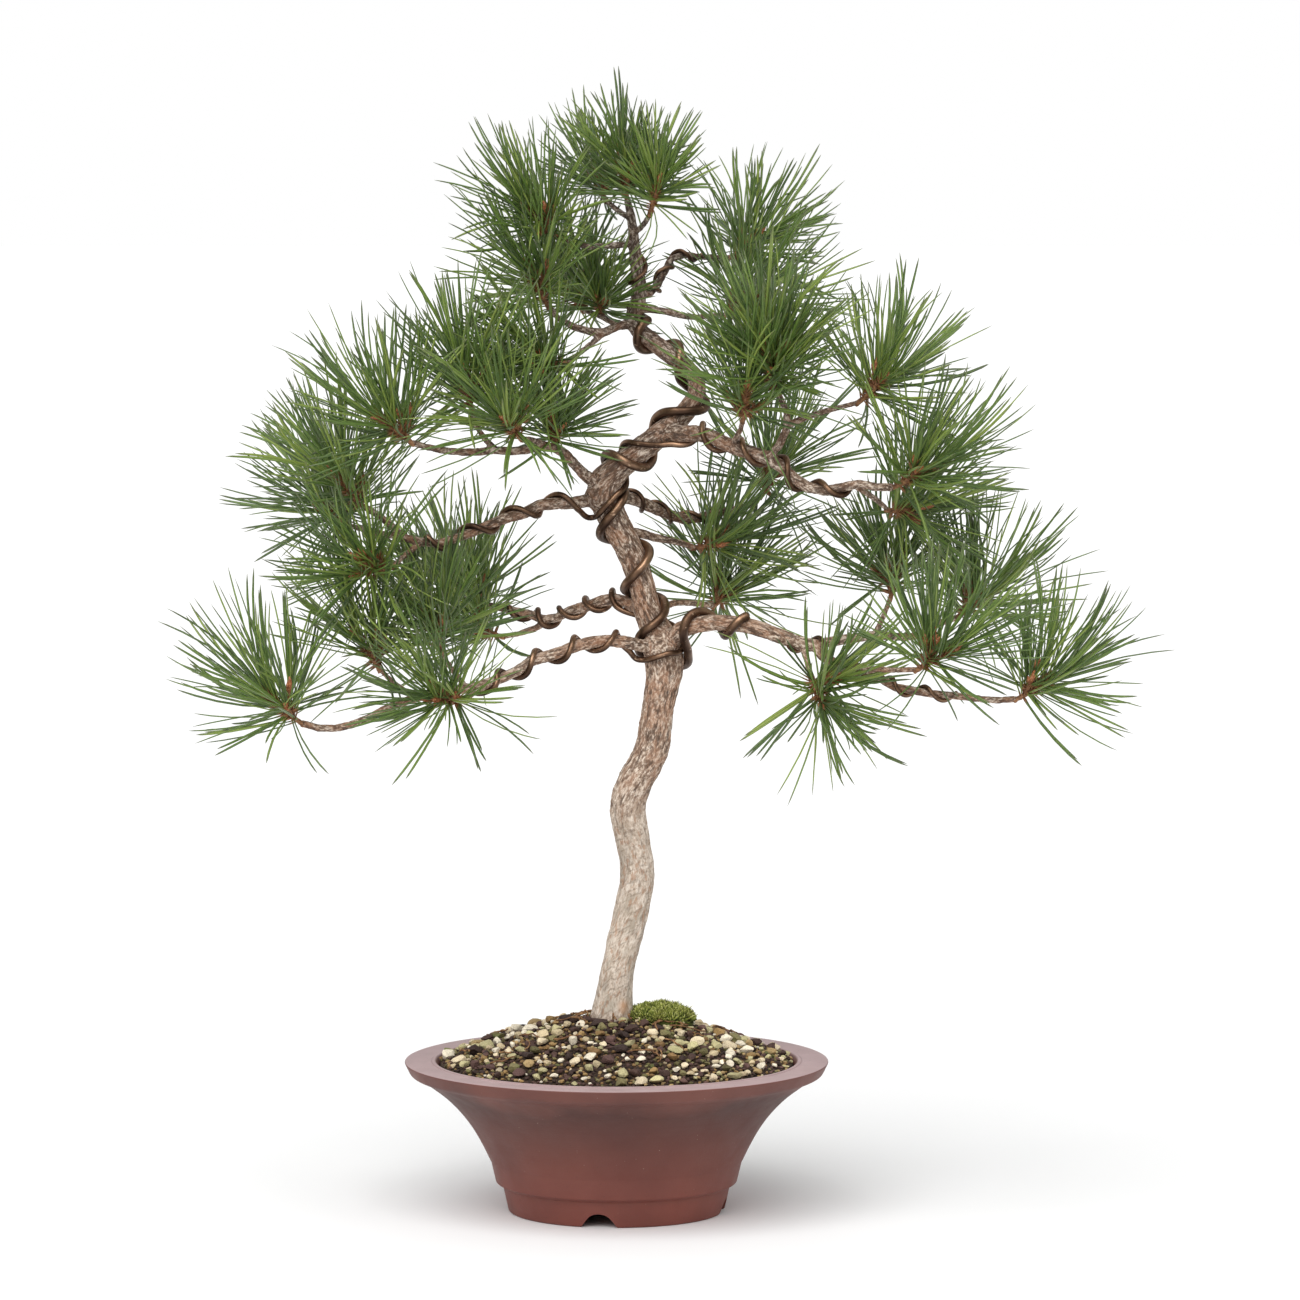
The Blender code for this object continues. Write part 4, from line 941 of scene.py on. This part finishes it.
def build_wood():
    """The bark skin of trunk and branches, with its relief and the values that its material reads."""
    wood = fused_wood()
    points, edges, _ = mesh_arrays(wood.data)
    degree = np.bincount(edges.ravel(), minlength=len(points)).astype(float)
    radius = stem_radius(wood.data, degree)
    pull = ((SMOOTH_SHARE * radius) ** 2 / (SMOOTH_ROUNDS * 0.5 * WOOD_VOXEL**2)).clip(0, 1)
    for _ in range(SMOOTH_ROUNDS):
        points += pull * (neighbour_mean(points, edges, degree) - points)
    wood.data.vertices.foreach_set("co", points.ravel())
    wood.data.update()
    _, _, normals = mesh_arrays(wood.data)
    points += normals * radius * SMOOTH_LOSS
    centre = points - normals * radius
    for _ in range(20):
        centre = neighbour_mean(centre, edges, degree)
    off = points - centre
    reach = np.hypot(points[:, 0] - AXIS_X, points[:, 1] - AXIS_Y)
    start = np.argsort(reach + np.abs(points[:, 2] - POT_HEIGHT))
    along = lengths_from(points, edges, start[:12])
    away = reach / MM
    crown = crown_share(points, away)
    fibre = functools.partial(fibre_noise, off, along, stem_ways(points, edges, along, degree))
    slender = (radius[:, 0] / (9 * MM)).clip(0.15, 1)
    groove = (1 - np.abs(fibre(260, 110)) / 0.1).clip(0, 1) * np.interp(crown, (0.1, 0.5, 1), (0.05, 0.7, 1))
    rise = slender * (0.85 * fibre(130, 45) + 0.5 * fibre(420, 150)) + 0.16 * fibre(900, 420)
    rise -= (0.25 + 0.35 * slender) * groove
    low = np.interp(points[:, 2] - POT_HEIGHT, (4 * MM, 34 * MM), (1, 0))
    rise += low * (0.8 + 1.6 * fibre(190, 30))
    points += normals * (rise * MM)[:, None]
    scar = carve_knots(points, normals)
    wood.data.vertices.foreach_set("co", points.ravel())
    # painted shade: out on the branches the bark is darker where it faces down and paler where it faces up
    crown -= 0.12 * normals[:, 2] * np.interp(away, (20, 50), (0, 1))
    foot = np.array((AXIS_X + 6 * MM, AXIS_Y - 12 * MM, 117 * MM))
    peel = np.exp(-(np.linalg.norm((points - foot) / (5 * MM, 6 * MM, 4.5 * MM), axis=1) ** 4))
    keep_values(wood, off=off, along=along, crown=crown.clip(0, 1), groove=groove, scar=scar, peel=peel)
    finished(wood, BARK)
    wood.data.shade_smooth()
    wood.name = "pine_wood"
    fixed(wood, "bark", "trunk", *BRANCH_NODES)
    return skin_tree(points, wood.data)


# Needles

NEEDLE_RINGS = np.array((0.0, 0.035, 0.075, 0.12, 0.35, 0.6, 0.82, 0.94, 1.0))
NEEDLE_WIDTHS = np.array((0.9, 1.2, 1.05, 0.85, 1.0, 1.0, 0.95, 0.7, 0.12))
NEEDLE_HALF_WIDTH = 0.72 * MM
MAIN_PAIRS = 34
SIDE_PAIRS = 12
SIDE_SHOOTS = 3
FIRST_LEAN = 88
LEAN_RANGE = 76
LEAN_SPREAD = 11
BEND = 0.26
TUFT_SEED = 4000
CROWN_HEIGHTS = (0.5, 0.56)
CROWN_NEEDLE_SHARE = 0.8


def tuft_shape(name):
    """Foot, direction and length of a CAD tuft's shoot, and the length of its longest spike."""
    shape = welded(name)
    tips = [vert for vert in shape.verts if len(vert.link_edges) == 3]
    spikes = []
    for tip in tips:
        base = sum((edge.other_vert(tip).co for edge in tip.link_edges), Vector()) / 3
        spikes.append(tip.co - base)
    body = np.array([vert.co for vert in shape.verts if len(vert.link_edges) > 3])
    ways = np.array(spikes)
    shape.free()
    middle = body.mean(axis=0)
    axis = np.linalg.svd(body - middle)[2][0]
    if np.dot(ways.mean(axis=0), axis) < 0:
        axis = -axis
    reach = (body - middle) @ axis
    return middle + axis * reach.min(), axis, reach.max() - reach.min(), np.linalg.norm(ways, axis=1).max()


def any_across(way):
    """Some direction square to another."""
    side = np.cross(way, (0.31, 0.59, 0.74))
    return side / np.linalg.norm(side)


def turned_off(axis, lean, around):
    """The direction that leans off an axis by an angle, on the side given by another."""
    side = any_across(axis)
    other = np.cross(axis, side)
    return unit(math.cos(lean) * axis + math.sin(lean) * (math.cos(around) * side + math.sin(around) * other))


def plan_shoot(pick, foot, axis, length, pairs, reach, wood):
    """Base, direction, bend, length and tint of each needle of a shoot."""
    plans = []
    for index in range(pairs):
        share = (index + 0.5) / pairs
        base = foot + axis * length * (0.06 + 0.94 * share**0.8)
        for _ in range(4):
            lean = math.radians(FIRST_LEAN - LEAN_RANGE * share**1.1 + pick.gauss(0, LEAN_SPREAD))
            around = index * GOLDEN_ANGLE + pick.uniform(-0.5, 0.5)
            way = turned_off(axis, max(lean, 0.05), around)
            way = unit(way + 0.2 * UP)
            size = reach * pick.uniform(0.82, 1.14) * (1 - 0.1 * (1 - share))
            start = Vector(base + way * 5 * MM)
            if wood.ray_cast(start, Vector(way), size)[0] is None:
                break
        else:
            size *= 0.5
        across = any_across(way)
        turn = pick.uniform(0, math.tau)
        opening = math.cos(turn) * across + math.sin(turn) * np.cross(way, across)
        bend = BEND * pick.gauss(0, 1) * across + BEND * pick.gauss(0, 1) * np.cross(way, across)
        bend = bend + pick.uniform(-0.05, 0.3) * UP
        tint = pick.random()
        root = base + way * 0.9 * MM
        for outward in (-opening, opening):
            heading = unit(way + outward * pick.uniform(0.035, 0.1))
            plans.append((
                root + outward * 0.42 * MM, heading, bend + outward * pick.uniform(-0.03, 0.1),
                size * pick.uniform(0.95, 1.0), -outward, min(max(tint + pick.uniform(-0.12, 0.12), 0), 1),
            ))
    return plans


def add_needles(heap, plans):
    """Half-round needles, flat side towards their partner, all made at once."""
    base, heading, bend, size, flat, tint = (np.array(column) for column in zip(*plans))
    t = NEEDLE_RINGS[None, :, None]
    line = base[:, None] + size[:, None, None] * (heading[:, None] * t + 0.5 * bend[:, None] * t**2)
    ways = unit(heading[:, None] + bend[:, None] * t)
    inward = flat[:, None] - ways * (flat[:, None] * ways).sum(-1, keepdims=True)
    inward = unit(inward)
    across = np.cross(ways, inward)
    wide = (NEEDLE_HALF_WIDTH * NEEDLE_WIDTHS)[None, :, None]
    rings = np.stack([line + across * wide, line + inward * wide * 0.3, line - across * wide,
                      line - inward * wide * 0.75], axis=2)
    count, steps = len(plans), len(NEEDLE_RINGS)
    one = np.array(tube_faces(steps, 4))
    faces = (one[None] + (np.arange(count) * steps * 4)[:, None, None]).reshape(-1, 4)
    inner = np.tile([0.5, 1, 0.5, 0], count * steps)
    reach = np.tile(np.repeat(NEEDLE_RINGS, 4), count)
    tint = np.repeat(tint, steps * 4)
    heap.add(rings.reshape(-1, 3), faces.tolist(), tint=tint, reach=reach, inner=inner)


def add_bud(heap, foot, axis, length, width):
    """A pointed bud with spiral rows of scales."""
    rings, around = 14, 14
    side = any_across(axis)
    other = np.cross(axis, side)
    points, edge = [], []
    for ring in range(rings + 1):
        share = ring / rings
        body = width * (math.sin(math.pi * min(share * 0.72 + 0.24, 1)) ** 0.8)
        for step in range(around):
            angle = step * math.tau / around
            lap = (share * 6 + angle / math.tau * 2) % 1
            radius = max(body * (0.86 + 0.22 * lap), 0.05 * width)
            outward = math.cos(angle) * side + math.sin(angle) * other
            points.append(foot + axis * length * share + radius * outward)
            edge.append(lap)
    heap.add(points, tube_faces(rings + 1, around), 1, scale_edge=edge)


def add_stalk(heap, foot, axis, length, first, last):
    """The woody core of a shoot, ringed by the scars of old sheaths."""
    steps = 26
    share = np.linspace(0, 1, steps)
    line = foot + np.outer(share * length, axis)
    radii = first + (last - first) * share
    points, faces = swept(line, radii, 10)
    ripple = noise_at(points, 900)
    centres = np.repeat(line, 10, axis=0)
    points = centres + (points - centres) * (1 + 0.35 * ripple)[:, None]
    heap.add(points, faces, 2)


def build_tuft(name, order, wood):
    """The leafy shoot in place of a CAD tuft."""
    foot, axis, length, reach = tuft_shape(name)
    reach *= np.interp(foot[2], CROWN_HEIGHTS, (1, CROWN_NEEDLE_SHARE))
    made = leafy_shoot(name.replace("tuft", "needles"), TUFT_SEED + order, (foot, axis, length, reach), wood)
    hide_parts(name)


def build_spray(branch, seed, x, axis, length, reach, wood):
    """A small leafy shoot on top of a branch, where it passes a distance from the pot's axis."""
    points = corners_of(branch)
    foot = points[np.argmin(np.abs(points[:, 0] - AXIS_X - x) - points[:, 2])]
    leafy_shoot(branch.replace("branch", "spray"), seed, (foot, unit(axis), length, reach), wood)


def leafy_shoot(name, seed, shape, wood):
    """One piece of needles, buds and stalks. Its shape is a foot, an axis, a length and a needle length."""
    pick = random.Random(seed)
    foot, axis, length, reach = shape
    heap = Heap()
    shoots = [(foot, axis, length, MAIN_PAIRS, reach)]
    for _ in range(SIDE_SHOOTS):
        lean = math.radians(pick.uniform(28, 58))
        ways = [turned_off(axis, lean, pick.uniform(0, math.tau)) for _ in range(3)]
        highest = max(ways, key=lambda way: way[2])
        start = foot + axis * length * pick.uniform(0.05, 0.45)
        shoots.append((start, highest, length * pick.uniform(0.45, 0.6), SIDE_PAIRS, reach * 0.9))
    plans = []
    for start, way, size, pairs, needle in shoots:
        plans += plan_shoot(pick, start, way, size, pairs, needle, wood)
        back = 2.5 * MM if size == length else 0.0
        add_stalk(heap, start - way * back, way, size + back, 1.5 * MM, 1.1 * MM)
        add_bud(heap, start + way * size * 0.97, way, pick.uniform(6.5, 8.5) * MM, 1.7 * MM)
        for _ in range(2):
            lean = turned_off(way, math.radians(pick.uniform(22, 36)), pick.uniform(0, math.tau))
            add_bud(heap, start + way * size * 0.94, lean, pick.uniform(4.5, 6) * MM, 1.25 * MM)
    add_needles(heap, plans)
    made = heap.piece(name, [NEEDLE, BUD, SHOOT])
    fixed(made, "needles")
    return made


# Branch, seed, place along X from the pot's axis, direction, length and needle length
SPRAYS = [
    ("branch_upper_left", 16, -34 * MM, (-0.1, -0.45, 0.9), 15 * MM, 50 * MM),
    ("branch_crown_left", 16, -6 * MM, (-0.3, -0.5, 0.7), 12 * MM, 42 * MM),
    ("branch_mid_right", 15, 62 * MM, (0.2, -0.4, 0.9), 14 * MM, 50 * MM),
]


# Soil, grains and moss

GRAIN_TONES = {
    "pumice": ([srgb(236, 218, 184), srgb(216, 196, 158), srgb(248, 236, 212), srgb(204, 194, 146)], 0.25),
    "lava": ([srgb(78, 54, 46), srgb(100, 72, 66), srgb(58, 40, 34)], 0.05),
    "clay": ([srgb(164, 132, 84), srgb(140, 108, 68), srgb(180, 152, 106)], 0.4),
    "mossy": ([srgb(124, 114, 72), srgb(138, 128, 86), srgb(98, 90, 54)], 0.9),
}
STONES = 460
STONE_TRIES = 9000
SPACING = 3.3 * MM
ROW_SHARE = 0.866
LITTER_BITS = 46
SPRIGS = 3600
MOSS_VOXEL = 0.9 * MM
LARGE_MIX = [("pumice", 0.52), ("lava", 0.26), ("mossy", 0.12), ("clay", 0.1)]
SMALL_MIX = [("lava", 0.46), ("clay", 0.28), ("mossy", 0.2), ("pumice", 0.06)]


def grain_forms(pick, subdivisions, count):
    """Angular pebble shapes: balls cut by planes and roughened."""
    forms = []
    for number in range(count):
        shape = bmesh.new()
        bmesh.ops.create_icosphere(shape, subdivisions=subdivisions, radius=1)
        points = np.array([vert.co for vert in shape.verts])
        faces = [tuple(vert.index for vert in face.verts) for face in shape.faces]
        shape.free()
        for _ in range(11):
            normal = unit([pick.gauss(0, 1) for _ in range(3)])
            depth = pick.uniform(0.5, 0.82)
            over = np.maximum(points @ normal - depth, 0)
            points = points - over[:, None] * normal
        swell = noise_at(points, 1.7, (number * 3.1, 0, 0))
        rough = noise_at(points, 4.5, (0, number * 2.3, 0))
        points = points * (1 + 0.14 * swell + 0.07 * rough)[:, None]
        forms.append((points, faces))
    return forms


def add_grain(heap, pick, form, place, size, tone):
    """One grain, stretched and turned, at a place."""
    points, faces = form
    stretch = np.array((pick.uniform(0.9, 1.35), pick.uniform(0.7, 1.05), pick.uniform(0.55, 0.9)))
    turn = Matrix.Rotation(pick.uniform(0, math.tau), 3, "Z")
    turn = turn @ Matrix.Rotation(pick.uniform(-0.5, 0.5), 3, "X")
    placed = (points * stretch * size) @ np.array(turn).T + place
    colour, film = tone
    heap.add(placed, faces, grain=np.tile(colour, (len(points), 1)), film=np.full(len(points), film))


def grain_tone(pick, mix):
    """A colour and a share of green film from a mix of stones."""
    kinds, shares = zip(*mix)
    colours, film = GRAIN_TONES[pick.choices(kinds, shares)[0]]
    base = np.array(pick.choice(colours))
    return (*(base[:3] * pick.uniform(0.75, 1.12)), 1.0), film


def ground_height(tree, x, y):
    """Height of the soil at a place."""
    return tree.ray_cast(Vector((x, y, 2 * POT_HEIGHT)), Vector((0, 0, -1)))[0].z


def spot_on_ground(pick, reach):
    """A place at a distance from the pot's axis, in any direction."""
    angle = pick.uniform(0, math.tau)
    return AXIS_X + reach * math.cos(angle), AXIS_Y + reach * math.sin(angle)


def build_grains(ground, lip, trunk_spot, moss_middle, moss_size):
    """Large grains strewn first, then rows of small ones in the gaps, clear of trunk and moss."""
    pick = random.Random(71)
    small = grain_forms(pick, 1, 14)
    large = grain_forms(pick, 2, 16)

    def free(x, y, size):
        from_trunk = math.hypot(x - trunk_spot[0], y - trunk_spot[1])
        in_moss = math.hypot((x - moss_middle[0]) / moss_size[0], (y - moss_middle[1]) / moss_size[1])
        return from_trunk > 13.5 * MM + size and in_moss > 0.82

    stones = []
    for _ in range(STONE_TRIES):
        if len(stones) == STONES:
            break
        x, y = spot_on_ground(pick, (lip - 3.2 * MM) * math.sqrt(pick.random()))
        size = pick.uniform(2.2, 4.7) * MM if pick.random() < 0.72 else pick.uniform(1.7, 2.4) * MM
        if not free(x, y, size * 0.6):
            continue
        if any(math.hypot(x - a, y - b) < 0.86 * (size + c) for a, b, c in stones):
            continue
        stones.append((x, y, size))
    heap = Heap()
    for x, y, size in stones:
        place = np.array((x, y, ground_height(ground, x, y) + size * 0.38 + 0.9 * MM))
        add_grain(heap, pick, pick.choice(large), place, size, grain_tone(pick, LARGE_MIX))
    stone_rows = np.array(stones)
    rows = int(lip / (SPACING * ROW_SHARE)) + 1
    for row, column in itertools.product(range(-rows, rows + 1), repeat=2):
        x = (column + 0.5 * (row % 2)) * SPACING + pick.uniform(-0.9, 0.9) * MM
        y = row * SPACING * ROW_SHARE + pick.uniform(-0.9, 0.9) * MM
        size = pick.uniform(1.2, 2.1) * MM
        if math.hypot(x, y) > lip - size * 0.9:
            continue
        x, y = x + AXIS_X, y + AXIS_Y
        covered = np.hypot(stone_rows[:, 0] - x, stone_rows[:, 1] - y) < 0.7 * stone_rows[:, 2]
        if covered.any() or not free(x, y, 0):
            continue
        place = np.array((x, y, ground_height(ground, x, y) + pick.uniform(0.1, 1.3) * MM))
        add_grain(heap, pick, pick.choice(small), place, size, grain_tone(pick, SMALL_MIX))
    grains = heap.piece("grit_grains", [GRAIN])
    grains.data.set_sharp_from_angle(angle=math.radians(28))
    fixed(grains, "grit")


def build_litter(ground, lip):
    """Dry needles and bark crumbs fallen on the grit."""
    pick = random.Random(19)
    heap = Heap()
    for _ in range(LITTER_BITS):
        x, y = spot_on_ground(pick, lip * 0.86 * pick.random() ** 0.8)
        turn = pick.uniform(0, math.tau)
        length = pick.uniform(7, 22) * MM
        way = np.array((math.cos(turn), math.sin(turn), 0))
        side = np.array((-way[1], way[0], 0))
        line = []
        for share in np.linspace(-0.5, 0.5, 7):
            spot = np.array((x, y, 0)) + way * length * share + side * length * 0.5 * share**2
            if math.hypot(spot[0] - AXIS_X, spot[1] - AXIS_Y) > lip - 2 * MM:
                break
            spot[2] = ground_height(ground, spot[0], spot[1]) + pick.uniform(3.4, 4.4) * MM
            line.append(spot)
        if len(line) < 5:
            continue
        line = smooth_line(line, 2)
        radius = pick.uniform(0.35, 0.6) * MM
        points, faces = swept(line, np.full(len(line), radius), 5)
        heap.add(points, faces)
    fixed(heap.piece("dry_litter", [LITTER]), "grit")


def build_moss():
    """A cushion of short upright sprigs."""
    pick = random.Random(5)
    tree = tree_of("moss")
    low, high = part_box("moss")
    cushion = remeshed(in_scene("moss_cushion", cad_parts["moss"].data.copy()), MOSS_VOXEL)
    points, _, normals = mesh_arrays(cushion.data)
    lift = noise_at(points, 260) + 0.5 * noise_at(points, 700)
    shown = (normals[:, 2] > 0.1) * 0.9 * MM
    points += normals * (lift * shown)[:, None]
    cushion.data.vertices.foreach_set("co", points.ravel())
    keep_values(cushion, tint=np.full(len(points), 0.2))
    finished(cushion, MOSS)
    cushion.data.shade_smooth()
    heap = Heap()
    for _ in range(SPRIGS):
        x = pick.uniform(low.x, high.x)
        y = pick.uniform(low.y, high.y)
        hit, normal, _, _ = tree.ray_cast(Vector((x, y, high.z + 10 * MM)), Vector((0, 0, -1)))
        if hit is None or normal.z < 0.15:
            continue
        way = unit(np.array(normal) + [pick.gauss(0, 0.4), pick.gauss(0, 0.4), 0.35])
        rise = 0.5 + noise.noise(Vector((x, y, 0)) * 190)
        size = (1.7 + 2.6 * min(max(rise, 0), 1)) * pick.uniform(0.75, 1.2) * MM
        bend = np.array([pick.gauss(0, 0.3), pick.gauss(0, 0.3), 0])
        share = np.array((0, 0.3, 0.65, 1.0))[:, None]
        line = np.array(hit) + size * (way * share + 0.5 * bend * share**2)
        points, faces = swept(line, np.array((0.34, 0.42, 0.3, 0.05)) * MM, 4)
        tint = min(max(pick.gauss(0.62, 0.28), 0), 1)
        heap.add(points, faces, tint=np.repeat(tint * (0.45 + 0.55 * share[:, 0]), 4))
    fixed(heap.piece("moss_sprigs", [MOSS]), "moss")
    fixed(cushion, "moss", "moss")


def build_ground():
    """Fines, grains, litter and moss inside the pot's lip."""
    ground = tree_of("soil")
    lip = inner_wall(POT_HEIGHT - 2.5 * MM)
    finished(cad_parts["soil"], FINES)
    low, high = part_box("moss")
    middle = ((low.x + high.x) / 2, (low.y + high.y) / 2)
    size = ((high.x - low.x) / 2, (high.y - low.y) / 2)
    trunk = corners_of("trunk")
    foot = trunk[np.abs(trunk[:, 2] - (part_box("soil")[1].z + 2 * MM)) < 8 * MM]
    build_grains(ground, lip, foot[:, :2].mean(axis=0), middle, size)
    build_litter(ground, lip)
    build_moss()


# Everything built

build_pot()
wood_tree = build_wood()
for wire_node in WIRE_NODES:
    build_wire(wire_node, ANODISED, "bronze_wire", 4, 14, wood_tree)
for wire_node in ("mesh_clip", "root_tie_wire"):
    build_wire(wire_node, BARE_WIRE, "bare_wire", 2, 10)
finished(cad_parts["drainage_mesh"], PLASTIC)
for number, tuft_node in enumerate(TUFT_NODES):
    build_tuft(tuft_node, number, wood_tree)
for spray in SPRAYS:
    build_spray(*spray, wood_tree)
build_ground()


# Studio

FLOOR_HALF = 30
SKY_LIGHT = 0.6
KEY_LIGHT = 2.5
KEY_SPREAD = math.radians(60)
KEY_TURN = (math.radians(40), 0, math.radians(-14))
CAMERA_LENS = 173.05
CAMERA_DISTANCE = 3.5
CAMERA_SIDE = 18.9 * MM
CAMERA_HEIGHT = 0.6075
CAMERA_DIP = math.radians(4.73)


def build_studio():
    """A pale floor, an even sky and one broad soft light."""
    shape = bmesh.new()
    bmesh.ops.create_grid(shape, x_segments=8, y_segments=8, size=FLOOR_HALF)
    floor = in_scene("studio_floor", mesh_from(shape, "studio_floor"))
    n = Nodes("pale_floor")
    tone = n.noise(n.place(), 0.8, detail=2)
    floor.data.materials.append(n.finish(n.between(tone, 0.94, 0.96), 1.0))
    world = bpy.data.worlds.new("soft_studio")
    bpy.context.scene.world = world
    world.use_nodes = True
    sky = world.node_tree
    background = sky.nodes["Background"]
    background.inputs["Color"].default_value = (1, 1, 1, 1)
    seen = sky.nodes.new("ShaderNodeLightPath")
    strength = sky.nodes.new("ShaderNodeMapRange")
    strength.inputs["To Min"].default_value = SKY_LIGHT
    strength.inputs["To Max"].default_value = 1.0
    sky.links.new(seen.outputs["Is Camera Ray"], strength.inputs["Value"])
    sky.links.new(strength.outputs["Result"], background.inputs["Strength"])
    light = bpy.data.lights.new("key", "SUN")
    light.energy = KEY_LIGHT
    light.angle = KEY_SPREAD
    in_scene("key", light).rotation_euler = KEY_TURN
    bpy.context.scene.view_settings.view_transform = "Standard"


def build_camera():
    """A long lens a little above the middle of the tree, looking slightly down."""
    data = bpy.data.cameras.new("camera")
    data.lens = CAMERA_LENS
    data.sensor_width = 36
    data.clip_end = 100
    camera = in_scene("camera", data)
    camera.location = (AXIS_X + CAMERA_SIDE, AXIS_Y - CAMERA_DISTANCE, CAMERA_HEIGHT)
    camera.rotation_euler = (math.pi / 2 - CAMERA_DIP, 0, 0)
    bpy.context.scene.camera = camera


build_studio()
build_camera()
